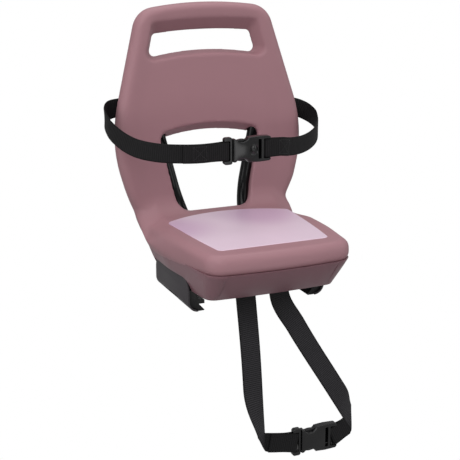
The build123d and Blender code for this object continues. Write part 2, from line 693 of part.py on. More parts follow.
def buckle_socket():
    """The socket: an hourglass body open at its mouth and sides, with a ladder end for the webbing."""
    waist_x = LADDER_X / 3
    right_side = [
        Line((0, -SOCKET_MOUTH_HALF), (0, SOCKET_MOUTH_HALF)),
        Line((0, SOCKET_MOUTH_HALF), (4, SOCKET_MOUTH_HALF)),
        ThreePointArc(
            (4, SOCKET_MOUTH_HALF), (waist_x, SOCKET_WAIST_HALF), (LADDER_X * 0.6, SOCKET_HALF - 1),
        ),
        Line((LADDER_X * 0.6, SOCKET_HALF - 1), (LADDER_X, SOCKET_HALF)),
        Line((LADDER_X, SOCKET_HALF), (SOCKET_LENGTH, SOCKET_HALF - 1)),
        Line((SOCKET_LENGTH, SOCKET_HALF - 1), (SOCKET_LENGTH, 1 - SOCKET_HALF)),
    ]
    low_side = [mirror(line, about=Plane.XZ) for line in right_side[1:5]]
    outline = make_face([line.edge() for line in right_side + low_side])
    corners = [(SOCKET_LENGTH, s * (SOCKET_HALF - 1), 4) for s in (1, -1)]
    outline = round_corners(outline, corners)
    socket = extrude(outline, BUCKLE_THICK / 2, both=True)
    socket = fillet(socket.edges().group_by(Axis.Z)[-1] + socket.edges().group_by(Axis.Z)[0], 1.5)
    cavity_half = PRONG_THICK / 2 + BUCKLE_GAP
    socket -= block(
        (-1, -SOCKET_CAVITY_HALF, -cavity_half), (PRONG_LENGTH + 2, SOCKET_CAVITY_HALF, cavity_half),
    )
    first = LADDER_X + LADDER_SLOT
    second = first + LADDER_RIB
    bar = SOCKET_LENGTH - WEB_BAR
    half = web_half + 1.5
    socket -= block((LADDER_X, -half, -BUCKLE_THICK), (first, half, BUCKLE_THICK))
    socket -= block((second, -half, -BUCKLE_THICK), (bar, half, BUCKLE_THICK))
    for s in (1, -1):
        low, high = sorted((s * WEB_BAR_THICK / 2, s * BUCKLE_THICK))
        socket -= block((second, -half, low), (SOCKET_LENGTH + 1, half, high))
    return socket


def belt_height(x):
    """Height of the waist belt's middle where it crosses the back."""
    share = (x - BELT_LEFT_X) / (BELT_RIGHT_X - BELT_LEFT_X)
    return BELT_LEFT_Z + share * (BELT_RIGHT_Z - BELT_LEFT_Z)


def belt_on_back(x):
    """A point of the waist belt lying on the backrest's rear face."""
    z = belt_height(x)
    return (x, rear_y(z) - wrap(x) + RUN_GAP + WEB_THICK / 2 + slope * web_half, z)


def belt_along(x):
    """The belt's direction to the right at x, on the backrest's rear face."""
    return (Vector(*belt_on_back(x + 1)) - Vector(*belt_on_back(x - 1))).normalized()


def belt_rear():
    """The belt across the back."""
    steps = [BELT_LEFT_X + i * (BELT_RIGHT_X - BELT_LEFT_X) / 10 for i in range(11)]
    return webbing([belt_on_back(x) for x in steps])


def belt_left():
    """The belt from the plug round the left side, with its sewn loop."""
    start = (WAIST_MOUTH[0] + plug_bar_x - loop_reach + WEB_THICK / 2, *WAIST_MOUTH[1:])
    end = belt_on_back(BELT_LEFT_X - 2 * RUN_GAP)
    band = webbing([start, *WAIST_LEFT_ROUTE, end], belt_along(BELT_LEFT_X))
    return band + buckle_plane(WAIST_MOUTH) * web_loop(plug_bar_x)


def belt_right():
    """The belt from the socket round the right side, with its sewn loop."""
    start = (WAIST_MOUTH[0] + socket_bar_x + loop_reach - WEB_THICK / 2, *WAIST_MOUTH[1:])
    end = belt_on_back(BELT_RIGHT_X + RUN_GAP / 3)
    band = webbing([start, *WAIST_RIGHT_ROUTE, end], belt_along(BELT_RIGHT_X) * -1)
    return band + buckle_plane(WAIST_MOUTH) * web_loop(socket_bar_x)


def belt_guide(plane):
    """A bridge on the backrest's rear face that the belt runs under."""
    rise = WEB_THICK + 4 * RUN_GAP + 2 * slope * web_half
    body = extrude(RectangleRounded(GUIDE_WIDTH, GUIDE_HEIGHT, 5), rise + GUIDE_WALL)
    body = fillet(body.faces().sort_by(Axis.Z)[-1].edges(), 1.2)
    body -= block((-GUIDE_WIDTH, -web_half - 2.5, 0), (GUIDE_WIDTH, web_half + 2.5, rise))
    for spot in guide_screw_spots():
        body -= Pos(*spot) * Cylinder(GUIDE_SCREW_R, 4 * GUIDE_WALL + 4 * rise)
    return plane * body


def guide_screws():
    """Screws that hold the belt guides to the shell."""
    rise = WEB_THICK + 4 * RUN_GAP + 2 * slope * web_half + GUIDE_WALL
    screws = []
    for plane in guide_planes():
        for spot in guide_screw_spots():
            shank = rod((*spot, 1 - GUIDE_SCREW_BITE), (*spot, rise), GUIDE_SCREW_R)
            screws.append(plane * (shank + rod((*spot, rise), (*spot, rise + 2), 1.9 * GUIDE_SCREW_R)))
    return Compound(screws)


def strip(points, start_cut=None, end_cut=None):
    """A flat strip of webbing along (x, z) points, its ends square or cut along a given direction."""
    route = [Vector(x, z) for x, z in points]
    runs = [(b - a).normalized() for a, b in zip(route, route[1:])]
    lefts, rights = [], []
    for i, here in enumerate(route):
        before, after = runs[max(i - 1, 0)], runs[min(i, len(runs) - 1)]
        across = (before + after).normalized().rotate(Axis.Z, 90)
        if i == 0 and start_cut is not None:
            across = start_cut
        if i == len(route) - 1 and end_cut is not None:
            across = end_cut
        square = after.rotate(Axis.Z, 90)
        step = across * (web_half / across.dot(square))
        lefts.append(here + step)
        rights.append(here - step)
    return make_face(Polyline(*lefts, *reversed(rights), close=True))


def fold_direction(before, fold, after):
    """The line that webbing folds over to turn from one run to the next."""
    into = (Vector(*fold) - Vector(*before)).normalized()
    away = (Vector(*after) - Vector(*fold)).normalized()
    return (into + away).normalized()


def web_layer(face, y):
    """A strip of webbing as a sheet at depth y."""
    return extrude(upright(y) * face, WEB_THICK / 2, both=True)


def rod_loop(x):
    """The strap's sewn loop round its rod under the seat."""
    ring = Circle(STRAP_ROD_R + TUBE_FIT + WEB_THICK) - Circle(STRAP_ROD_R + TUBE_FIT)
    return extrude(Plane.YZ.offset(x) * Pos(STRAP_Y, STRAP_ROD_Z) * ring, web_half, both=True)


def strap_left():
    """The safety strap's left half below the tray: down, folded across, to the plug's sewn loop."""
    top = (STRAP_LEFT_X, STRAP_SPLIT_Z - RUN_GAP)
    end = (SAFETY_MOUTH_X + plug_bar_x - loop_reach + WEB_THICK / 2, SAFETY_MOUTH_Z)
    fold = fold_direction(top, STRAP_LEFT_FOLD, end)
    down = web_layer(strip([top, STRAP_LEFT_FOLD], Vector(1, 0), fold), STRAP_Y)
    across = web_layer(strip([STRAP_LEFT_FOLD, end], fold, Vector(0, 1)), web_run_y)
    return down + across + buckle_plane((SAFETY_MOUTH_X, web_run_y, SAFETY_MOUTH_Z)) * web_loop(plug_bar_x)


def strap_left_anchor():
    """The safety strap's left end, looped round the rod and out through the tray's floor."""
    low_z = STRAP_ROD_Z - STRAP_ROD_R - TUBE_FIT - WEB_THICK / 2
    sheet = web_layer(strip([(STRAP_LEFT_X, low_z), (STRAP_LEFT_X, STRAP_SPLIT_Z)]), STRAP_Y)
    return sheet + rod_loop(STRAP_LEFT_X)


def strap_right():
    """The safety strap's right half: from the rod, down and back to the socket's sewn loop."""
    low_z = STRAP_ROD_Z - STRAP_ROD_R - TUBE_FIT - WEB_THICK / 2
    knee = (STRAP_RIGHT_X, STRAP_SPLIT_Z - 2)
    end = (SAFETY_MOUTH_X + socket_bar_x + loop_reach - WEB_THICK / 2, SAFETY_MOUTH_Z)
    fold = fold_direction(STRAP_RIGHT_BOW, STRAP_RIGHT_FOLD, end)
    down = web_layer(strip(
        [(STRAP_RIGHT_X, low_z), knee, STRAP_RIGHT_BOW, STRAP_RIGHT_FOLD], end_cut=fold,
    ), STRAP_Y)
    across = web_layer(strip([STRAP_RIGHT_FOLD, end], fold, Vector(0, 1)), web_run_y)
    loop = buckle_plane((SAFETY_MOUTH_X, web_run_y, SAFETY_MOUTH_Z)) * web_loop(socket_bar_x)
    return down + across + loop + rod_loop(STRAP_RIGHT_X)


def strap_bar(radius):
    """A bar across the tray, where the safety strap hangs."""
    return rod((-STRAP_ROD_HALF, STRAP_Y, STRAP_ROD_Z), (STRAP_ROD_HALF, STRAP_Y, STRAP_ROD_Z), radius)


def build():
    """Every sub-part by the name of its node."""
    screws, washers = clamp_fixings()
    waist = buckle_plane(WAIST_MOUTH)
    safety = buckle_plane((SAFETY_MOUTH_X, web_run_y, SAFETY_MOUTH_Z))
    left_guide, right_guide = guide_planes()
    return {
        "seat_shell": seat_shell(),
        "seat_pad": seat_pad(),
        "base_tray": base_tray(),
        "base_screws": base_screws(),
        "back_frame": back_frame(),
        "frame_caps": frame_caps(),
        "frame_clips": frame_clips(),
        "clip_screws": clip_screws(),
        "clamp_jaw_right": clamp_jaw(),
        "clamp_cover_right": clamp_cover(),
        "clamp_jaw_left": mirror_x(clamp_jaw()),
        "clamp_cover_left": mirror_x(clamp_cover()),
        "clamp_screws": screws,
        "clamp_washers": washers,
        "belt_left": belt_left(),
        "belt_right": belt_right(),
        "belt_rear": belt_rear(),
        "belt_guide_left": belt_guide(left_guide),
        "belt_guide_right": belt_guide(right_guide),
        "guide_screws": guide_screws(),
        "waist_buckle_plug": waist * buckle_plug(),
        "waist_buckle_socket": waist * buckle_socket(),
        "strap_left": strap_left(),
        "strap_left_anchor": strap_left_anchor(),
        "strap_right": strap_right(),
        "strap_rod": strap_bar(STRAP_ROD_R),
        "safety_buckle_plug": safety * buckle_plug(),
        "safety_buckle_socket": safety * buckle_socket(),
    }


os.makedirs("parts", exist_ok=True)
for name, shape in build().items():
    export_step(shape, f"parts/{name}.step")
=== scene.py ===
import math

import bmesh
import bpy
import numpy as np
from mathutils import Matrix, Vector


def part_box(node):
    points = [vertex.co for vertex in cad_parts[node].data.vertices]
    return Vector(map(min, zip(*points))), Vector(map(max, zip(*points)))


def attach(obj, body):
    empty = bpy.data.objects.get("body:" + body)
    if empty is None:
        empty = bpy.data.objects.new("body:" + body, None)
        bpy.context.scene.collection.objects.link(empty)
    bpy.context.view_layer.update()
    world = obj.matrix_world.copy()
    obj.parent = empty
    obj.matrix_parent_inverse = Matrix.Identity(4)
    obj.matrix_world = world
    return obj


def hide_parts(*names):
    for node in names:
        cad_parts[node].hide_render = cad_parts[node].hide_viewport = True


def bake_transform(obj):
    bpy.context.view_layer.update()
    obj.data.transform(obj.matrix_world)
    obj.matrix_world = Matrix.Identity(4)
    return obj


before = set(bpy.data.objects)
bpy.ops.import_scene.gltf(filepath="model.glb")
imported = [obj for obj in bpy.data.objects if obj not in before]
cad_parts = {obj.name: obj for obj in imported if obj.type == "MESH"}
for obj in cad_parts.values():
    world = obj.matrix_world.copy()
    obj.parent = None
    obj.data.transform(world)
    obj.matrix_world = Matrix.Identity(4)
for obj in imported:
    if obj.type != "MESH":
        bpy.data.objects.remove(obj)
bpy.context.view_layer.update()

bl_info = {
    "name": "Child Bike Seat",
    "version": (1, 0, 0),
    "blender": (4, 5, 0),
    "location": "View3D > Sidebar > Child Seat",
    "description": "Dresses a rack-mounted child seat: shell, pad, webbing, buckles, clamps and studio",
    "category": "Object",
}

MM = 0.001

# Backrest and seat, in millimetres
BACK_SLOPE = math.tan(math.radians(6.2))
BACK_REAR_AT_SEAT = 131.0
BACK_CURVE_R = 1100.0
BACK_THICK = 29.0
SEAT_TOP = 102.5

# Seat's plan at the parting line, in metres: it narrows towards the front, and its heels towards the rear
PARTING_Z = 0.0715
SEAT_HALF = 0.131
SEAT_TAPER = 0.019
TAPER_START_Y = -0.010
TAPER_LENGTH = 0.148
HEEL_Y = 0.060
HEEL_SLANT = 0.225
HEEL_FLARE = 0.45
SKIRT_SLOPE = 0.34

# Where the shell's soft forms set in and run out, in metres along the axis that each name ends with
DISH_LOW_Z = (0.118, 0.175)
DISH_HIGH_Z = (0.398, 0.420)
FRONT_Y = (-0.165, -0.125)
FRONT_Z = (0.074, 0.104)
KNEE_X = (0.085, 0.125)
KNEE_START_Y = (-0.085, 0.020)
KNEE_END_Y = (0.104, 0.126)
KNEE_LOW_Z = 0.080
KNEE_BAND = 0.020
KNEE_REAR_LIFT = 0.024
KNEE_LIFT_Y = (0.060, 0.095)
KNEE_HIGH_Z = (0.116, 0.148)
LAP_X = (0.098, 0.140)
LAP_Y = (-0.020, 0.055)
LAP_LOW_Z = (0.078, 0.100)
LAP_HIGH_Z = (0.112, 0.160)
SKIRT_START_Y = (-0.155, -0.010)
SKIRT_END_Y = (0.064, 0.084)
SKIRT_Z = (PARTING_Z, 0.0935)
TRAY_FRONT_Y = (-0.130, -0.080)

# Breadths over which those forms ease off, and what the tray keeps from the shell's heels
DISH_EDGE = 30 * MM
DISH_MIDDLE = 90 * MM
SKIRT_EDGE = (-11 * MM, -7 * MM)
HEEL_EASE = 8 * MM
TRAY_EASE = 1 * MM
TRAY_INSET = 1.5 * MM
TRAY_RIM = 0.5 * MM

# Slices of the backrest that its half width is measured in
SLICE_START = 0.1
SLICE_HEIGHT = 4 * MM
SLICE_COUNT = 100
SLICE_SPAN = 3

# Pad's section from under its edge to its top, as (distance in, height) in millimetres, and its two painted
# spots as (middle, reach): a painted reflection of the backrest at the back and painted shade along the left
PAD_SECTION = [
    (20, 0), (1.2, 0), (0.25, 0.05), (0, 0.4), (0, 3.0), (0.25, 3.55), (0.7, 3.85), (1.3, 3.97), (2.2, 4.0),
    (5, 4.0), (10, 4.0),
]
PAD_REFLECTION_SHADE_SPOTS = [((0.046, 0.030, 0.103), 0.085), ((-0.106, 0.002, 0.103), 0.080)]

# Waist belt, by the middle of its webbing, in millimetres: buckle, left side, back, and the right side
WAIST_MOUTH = (-9.0, 6.0, 214.0)
WAIST_LEFT_SIDE = [
    (-58, 5, 214), (-92, 10, 215), (-124, 24, 217), (-149, 45, 222), (-166, 72, 233), (-174, 100, 247),
    (-171, 123, 259), (-159, 137, 265),
]
WAIST_RIGHT_SIDE = [
    (92, 16, 210), (120, 30, 208.5), (146, 47, 212), (165, 66, 218), (177, 88, 225), (181, 107, 233),
    (175, 125, 241), (160, 136.5, 248),
]
BELT_BACK_LEFT = (-140.0, 267.0)
BELT_BACK_RIGHT = (142.0, 251.0)
BELT_JOIN_X = 55.0
BELT_JOIN_GAP = 0.2
BELT_OFF_BACK = 1.3
BELT_LEANS_Y = (0.10, 0.14)
BELT_STEP = 1.5 * MM
SEWN_FROM = 14 * MM
SEWN_LEFT_TO = 66 * MM
SEWN_RIGHT_TO = 42 * MM
SEWN_OFF = 1.05
STITCHES_LEFT = 26 * MM
STITCHES_RIGHT = 15 * MM

# Safety strap in its own upright plane, as (x, z) in millimetres
STRAP_Y = -88.0
STRAP_LEFT_ROUTE = [(-31.0, 44.0), (-19.0, -85.0), (-10.5, -228.0)]
STRAP_RIGHT_ROUTE = [(24.0, 44.0), (28.0, 6.0), (56.0, -44.0), (119.0, -146.0), (166.0, -221.5)]
SAFETY_MOUTH = (68.0, -239.0)
STRAP_STEP = 0.9 * MM
STRAP_SIDES = 45
STRAP_LEANS = (-250 * MM, -130 * MM)
STRAP_TURNS_LEFT = (-95 * MM, -10 * MM)
STRAP_TURNS_RIGHT = (-64 * MM, -10 * MM)
# Painted shade on the strap, in metres along it: it fades out below the tray over the first span, and sets in
# on the tail about the fold over the second
STRAP_PAINTED_SHADE_ENDS = (20 * MM, 110 * MM)
STRAP_PAINTED_SHADE_STARTS = (-14 * MM, 12 * MM)

# Webbing about a buckle's bar, in millimetres from it, as (distance along the belt, distance to the front)
PLUG_BAR = -12.5
SOCKET_BAR = 59.5
BAR_BEHIND = [(-2, -3.9), (-9, -2.2), (-18, -0.4)]
PLUG_NOSE = 6.9
SOCKET_NOSE = 8.4
STRAP_RUN_IN = (-30, 0)
STRAP_TAIL = [(-16, 2.0), (-30, 1.9), (-42, 1.9)]

# Weave of the webbing: pitch of the warp, shares of its relief, painted shade in its valleys and painted
# highlight on its crests, and bumps
WARP_PITCH = 1.25 * MM
WARP_SHARE = 0.16
FUZZ_SHARE = 0.3
SELVEDGE_AT = 0.43
VALLEY_PAINTED_SHADE = 0.2
CREST_PAINTED_HIGHLIGHT = 3.3
WEAVE_BUMP = 0.9
WEAVE_DEPTH = 0.35 * MM
GRAIN_DEPTH = 0.15 * MM

# Buckles, in millimetres from the socket's mouth
FREE_END = [(53.4, -1.5, 0), (52.4, 3.0, 0), (49.4, 6.9, 0), (44.0, 7.5, 0), (35.0, 7.6, 0)]
FREE_END_EXTRA = 1.8 * MM
NOTCH_START, NOTCH_END = 5.6, 23.0
NOTCH_MIDDLE_X = 13.7
NOTCH_FLOOR = 14.3
NOTCH_SPREAD = 4.3
ARM_INNER = 14.6
ARM_OUTER = 17.0
ARM_BOW = 1.8
ARM_DEPTH = 3.3
SOCKET_MIDDLE_X = 20.0
SOCKET_HALF = (22.0, 20.0)
SOCKET_CROWN = 2.2
SOCKET_FACE_Y = (3.6, 5.2)
BUTTON_X = 33.5
BUTTON_HALF = (5.2, 8.0)
BUTTON_RISE = 1.2
GROOVE_DEPTH = 2.6
GROOVE_WIDTH = 0.28

# Lamps: place about the target in metres, size, and share of the key lamp's power
LAMPS = {
    "key": ((-0.9, -1.1, 1.5), 1.6, 1.0),
    "fill": ((0.30, -1.68, -0.25), 0.7, 0.145),
    "left": ((-1.8, -0.5, 0.1), 1.3, 0.45),
    "right": ((1.6, -0.9, 0.7), 1.3, 0.34),
    "top": ((0.2, 0.3, 1.9), 1.8, 0.9),
}
FLOOR_HALF = 9.0
FLOOR_FRONT_Y = -8.0
BACKDROP_Y = 3.0
BACKDROP_R = 3.0


def rgb(red, green, blue):
    """A colour given as it shows on screen, 0 to 255, as Blender's linear values."""
    value = np.array([red, green, blue]) / 255.0
    return tuple(np.where(value <= 0.04045, value / 12.92, ((value + 0.055) / 1.055) ** 2.4).tolist())


class SeatLook(bpy.types.PropertyGroup):
    """Sizes and colours of the seat's visible pieces."""

    shell_colour: bpy.props.FloatVectorProperty(
        name="Shell", description="Colour of the moulded shell", subtype="COLOR", default=rgb(162, 121, 128))
    pad_colour: bpy.props.FloatVectorProperty(
        name="Pad", description="Colour of the seat's inlay", subtype="COLOR", default=rgb(222, 199, 215))
    # Colour of the pad's painted reflection of the backrest and of its painted shade along the left
    reflection_shade_colour: bpy.props.FloatVectorProperty(
        name="Pad painted reflection and shade", description="Colour of the clouds in the inlay", subtype="COLOR",
        default=rgb(204, 173, 198))
    base_colour: bpy.props.FloatVectorProperty(
        name="Base", description="Colour of the tray under the seat", subtype="COLOR",
        default=rgb(134, 98, 106))
    webbing_colour: bpy.props.FloatVectorProperty(
        name="Webbing", description="Colour of the belts' yarn", subtype="COLOR", default=rgb(24, 23, 25))
    thread_colour: bpy.props.FloatVectorProperty(
        name="Thread", description="Colour of the belts' stitches", subtype="COLOR", default=rgb(44, 43, 46))
    buckle_colour: bpy.props.FloatVectorProperty(
        name="Buckle", description="Colour of the buckles and jaws", subtype="COLOR", default=rgb(16, 16, 17))
    clamp_colour: bpy.props.FloatVectorProperty(
        name="Clamp cover", description="Colour of the clamps' covers", subtype="COLOR",
        default=rgb(58, 54, 58))
    tube_colour: bpy.props.FloatVectorProperty(
        name="Tube", description="Colour of the back frame's paint", subtype="COLOR", default=rgb(9, 9, 10))
    zinc_colour: bpy.props.FloatVectorProperty(
        name="Zinc", description="Colour of the plated screws and clips", subtype="COLOR",
        default=rgb(178, 180, 184))
    dish_depth: bpy.props.FloatProperty(
        name="Dish", description="Depth of the hollow in the backrest", default=2.2 * MM, unit="LENGTH")
    bolster: bpy.props.FloatProperty(
        name="Bolster", description="Width of the roll along the backrest's sides", default=13 * MM,
        unit="LENGTH")
    seat_draft: bpy.props.FloatProperty(
        name="Seat draft", description="How far the seat's front leans in at its top", default=4 * MM,
        unit="LENGTH")
    knee_draft: bpy.props.FloatProperty(
        name="Knee draft", description="How far the sides lean in where seat and legs meet", default=9 * MM,
        unit="LENGTH")
    heel_half: bpy.props.FloatProperty(
        name="Heel", description="Half width of the shell's heels at the parting line", default=132.5 * MM,
        unit="LENGTH")
    skirt_drop: bpy.props.FloatProperty(
        name="Skirt drop", description="How far the shell's sides reach down over the tray at the rear",
        default=17 * MM, unit="LENGTH")
    lap_drop: bpy.props.FloatProperty(
        name="Lap drop", description="How far the seat's edge falls beside the lap", default=13 * MM,
        unit="LENGTH")
    shell_voxel: bpy.props.FloatProperty(
        name="Shell detail", description="Size of the shell's mesh cells", default=2.2 * MM, unit="LENGTH")
    tray_lip: bpy.props.FloatProperty(
        name="Tray lip", description="How far the tray's rim reaches into the shell", default=3.2 * MM,
        unit="LENGTH")
    tray_flush: bpy.props.FloatProperty(
        name="Tray flush", description="How far the tray's front rim spreads to meet the shell",
        default=1.1 * MM, unit="LENGTH")
    pad_crown: bpy.props.FloatProperty(
        name="Pad crown", description="Rise of the pad's middle over its edge", default=0.8 * MM,
        unit="LENGTH")
    buckle_voxel: bpy.props.FloatProperty(
        name="Buckle detail", description="Size of the buckles' mesh cells", default=0.6 * MM, unit="LENGTH")
    belt_width: bpy.props.FloatProperty(
        name="Belt width", description="Width of the waist belt's webbing", default=29 * MM, unit="LENGTH")
    strap_width: bpy.props.FloatProperty(
        name="Strap width", description="Width of the safety strap's webbing", default=32 * MM, unit="LENGTH")
    waist_squash: bpy.props.FloatProperty(
        name="Waist buckle height", description="Height of the waist buckle against the safety buckle",
        default=0.91, subtype="FACTOR")
    web_thick: bpy.props.FloatProperty(
        name="Webbing thickness", description="Thickness of the belts", default=1.7 * MM, unit="LENGTH")
    rib_pitch: bpy.props.FloatProperty(
        name="Rib pitch", description="Distance between the webbing's ribs", default=3.2 * MM, unit="LENGTH")
    fold_radius: bpy.props.FloatProperty(
        name="Fold radius", description="Radius of the safety strap's folds", default=1.9 * MM, unit="LENGTH")
    fold_turn: bpy.props.FloatProperty(
        name="Fold turn", description="How far the strap turns edge-on at its folds",
        default=math.radians(50), subtype="ANGLE")


class SeatStage(bpy.types.PropertyGroup):
    """Floor, light and camera."""

    floor_height: bpy.props.FloatProperty(
        name="Floor", description="Height of the floor", default=-0.42, unit="LENGTH")
    camera_target: bpy.props.FloatVectorProperty(
        name="Target", description="Point that the camera looks at", subtype="XYZ",
        default=(0.0, 0.036, 0.0805))
    camera_azimuth: bpy.props.FloatProperty(
        name="Azimuth", description="Camera's turn about the vertical", subtype="ANGLE",
        default=math.radians(-23.28))
    camera_elevation: bpy.props.FloatProperty(
        name="Elevation", description="Camera's height angle", subtype="ANGLE", default=math.radians(16.06))
    camera_distance: bpy.props.FloatProperty(
        name="Distance", description="Camera's distance from its target", default=1.8, unit="LENGTH")
    key_power: bpy.props.FloatProperty(
        name="Key light", description="Power of the key lamp in watts", default=17.0, unit="POWER")


def look():
    """The seat's sizes and colours."""
    return bpy.context.scene.seat_look


def new_object(name, mesh):
    """A scene object at the origin that holds the mesh."""
    obj = bpy.data.objects.new(name, mesh)
    bpy.context.scene.collection.objects.link(obj)
    return obj


def place(obj, material, nodes=(), body="seat"):
    """Dress a finished piece, let it stand for its CAD nodes, and let it move with its body, if it has just
    one."""
    obj.data.materials.clear()
    obj.data.materials.append(material)
    if nodes:
        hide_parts(*nodes)
    if body:
        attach(obj, body)
    return obj


def dress_node(node, material):
    """Give a CAD node that keeps its own shape a finished material."""
    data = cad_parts[node].data
    data.materials.clear()
    data.materials.append(material)


def node_box(node):
    """Low and high corner of a CAD node's box."""
    return (np.array(corner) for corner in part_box(node))


def grid_faces(rows, columns, wrap):
    """Quads between neighbouring rows and columns of a grid, the last column joined to the first if it
    wraps."""
    row = np.arange(rows - 1)[:, None] * columns
    column = np.arange(columns if wrap else columns - 1)[None, :]
    after = (column + 1) % columns
    corners = [row + column, row + after, row + columns + after, row + columns + column]
    return np.stack(np.broadcast_arrays(*corners), axis=-1).reshape(-1, 4)


def tidied(mesh, merge=0.0):
    """The same mesh with its doubles merged and its faces turned outwards."""
    shape = bmesh.new()
    shape.from_mesh(mesh)
    if merge:
        bmesh.ops.remove_doubles(shape, verts=shape.verts, dist=merge)
    bmesh.ops.recalc_face_normals(shape, faces=shape.faces)
    shape.to_mesh(mesh)
    shape.free()
    mesh.shade_smooth()
    return mesh


def surface(name, points, wrap=True, capped=True, uv=None, painted_light=None):
    """A mesh from a grid of points (rows, columns, 3), its ends closed where it is capped, with an optional
    UV grid and an optional painted light value at each row, lower where painted shade darkens it."""
    rows, columns = points.shape[:2]
    faces = grid_faces(rows, columns, wrap).tolist()
    if capped:
        faces += [list(range(columns)), list(range((rows - 1) * columns, rows * columns))]
    mesh = bpy.data.meshes.new(name)
    mesh.from_pydata(points.reshape(-1, 3).tolist(), [], faces)
    if uv is not None:
        corner = np.empty(len(mesh.loops), int)
        mesh.loops.foreach_get("vertex_index", corner)
        layer = mesh.uv_layers.new(name="UVMap")
        layer.data.foreach_set("uv", uv.reshape(-1, 2)[corner].astype(np.float32).ravel())
    tidied(mesh)
    if painted_light is not None:
        value = mesh.attributes.new("painted_light", "FLOAT", "POINT")
        value.data.foreach_set("value", np.repeat(painted_light, columns).astype(np.float32))
    return new_object(name, mesh)


def merged_mesh(node, name, flat_angle=0.0):
    """A copy of a CAD node's mesh with its loose triangles joined, and flat neighbours made one face."""
    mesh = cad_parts[node].data.copy()
    mesh.name = name
    shape = bmesh.new()
    shape.from_mesh(mesh)
    bmesh.ops.remove_doubles(shape, verts=shape.verts, dist=0.01 * MM)
    if flat_angle:
        bmesh.ops.dissolve_limit(shape, angle_limit=flat_angle, verts=shape.verts, edges=shape.edges)
    shape.to_mesh(mesh)
    shape.free()
    return mesh


def eased_copy(node, name, width):
    """A rigid CAD node with the small round that moulding leaves on its edges."""
    obj = new_object(name, merged_mesh(node, name, math.radians(0.4)))
    bevel = obj.modifiers.new("eased edges", "BEVEL")
    bevel.width = width
    bevel.segments = 2
    bevel.limit_method = "ANGLE"
    bevel.angle_limit = math.radians(28)
    bevel.harden_normals = True
    obj.data.shade_smooth()
    return obj


def remeshed(obj, voxel):
    """The same object with an even mesh, its cells as large as voxel."""
    cells = obj.modifiers.new("cells", "REMESH")
    cells.mode = "VOXEL"
    cells.voxel_size = voxel
    ready = obj.evaluated_get(bpy.context.evaluated_depsgraph_get())
    mesh = bpy.data.meshes.new_from_object(ready)
    obj.modifiers.clear()
    obj.data = mesh
    return obj


def mesh_points(mesh):
    """All vertex places as an array (n, 3)."""
    points = np.empty(3 * len(mesh.vertices), np.float32)
    mesh.vertices.foreach_get("co", points)
    return points.reshape(-1, 3).astype(float)


def set_mesh_points(mesh, points):
    """Move all vertices to the places of an array (n, 3)."""
    mesh.vertices.foreach_set("co", points.astype(np.float32).ravel())
    mesh.update()


def relaxed(mesh, points, rounds, pull=0.55, push=-0.57):
    """Even out a mesh: each point moves towards the mean of its neighbours, then back, so that the form
    keeps its size."""
    edges = np.empty(2 * len(mesh.edges), np.int32)
    mesh.edges.foreach_get("vertices", edges)
    a, b = edges.reshape(-1, 2).T
    total = len(points)
    count = np.bincount(edges, minlength=total)[:, None]
    for step in [pull, push] * rounds:
        sums = [np.bincount(a, p[b], total) + np.bincount(b, p[a], total) for p in points.T]
        points = points + step * (np.stack(sums, axis=1) / count - points)
    return points


def unit(vectors):
    """Vectors at length 1."""
    return vectors / np.linalg.norm(vectors, axis=-1, keepdims=True)


def smoothstep(low, high, value):
    """0 below low, 1 above high, and 3t^2 - 2t^3 between them."""
    t = np.clip((value - low) / (high - low), 0, 1)
    return t * t * (3 - 2 * t)


def smooth_line(points, step):
    """A line through points, sampled every step: cubic pieces by chord length, with the slopes of their
    neighbours."""
    points = np.array(points, float)
    gap = np.linalg.norm(np.diff(points, axis=0), axis=1)
    knots = np.concatenate([[0], np.cumsum(gap)])
    chord = np.diff(points, axis=0) / gap[:, None]
    between = chord[:-1] * gap[1:, None] + chord[1:] * gap[:-1, None]
    slopes = np.vstack([chord[:1], between / (gap[1:] + gap[:-1])[:, None], chord[-1:]])
    at = np.linspace(0, knots[-1], max(8, int(knots[-1] / step)))
    i = np.clip(np.searchsorted(knots, at, side="right") - 1, 0, len(gap) - 1)
    h = gap[i][:, None]
    t = ((at - knots[i]) / gap[i])[:, None]
    return ((1 + 2 * t) * (1 - t) ** 2 * points[i] + t * (1 - t) ** 2 * h * slopes[i]
            + t * t * (3 - 2 * t) * points[i + 1] + t * t * (t - 1) * h * slopes[i + 1])


def arc_length(line):
    """Distance along a sampled line."""
    return np.concatenate([[0], np.cumsum(np.linalg.norm(np.diff(line, axis=0), axis=1))])


def web_profile(count=17):
    """The webbing's cross-section, each way from -1 to 1: flat faces b = (1 - |a|^16)^(1/2) and soft
    selvedges."""
    front = np.sin(np.linspace(-np.pi / 2, np.pi / 2, count))
    face = np.sqrt(1 - np.abs(front) ** 16)
    return np.concatenate([front, front[-2:0:-1]]), np.concatenate([face, -face[-2:0:-1]])


def web_frame(line, up):
    """Width W, which is up made square to the line's tangent T, and normal T x W at each point of a
    line."""
    tangent = unit(np.gradient(line, axis=0))
    width = unit(up - tangent * np.sum(up * tangent, axis=1)[:, None])
    return width, np.cross(tangent, width)


def webbing_along(name, line, up, breadth):
    """Webbing carried along a line: P = C + W a w/2 + N b t/2, where w is its breadth and t its
    thickness."""
    width, normal = web_frame(line, up)
    across, out = web_profile()
    half, thick = breadth / 2, look().web_thick / 2
    points = line[:, None] + width[:, None] * (half * across)[:, None]
    points = points + normal[:, None] * (thick * out)[:, None]
    uv = np.broadcast_arrays(arc_length(line)[:, None], half * across)
    return surface(name, points, uv=np.stack(uv, axis=-1), painted_light=np.ones(len(line)))


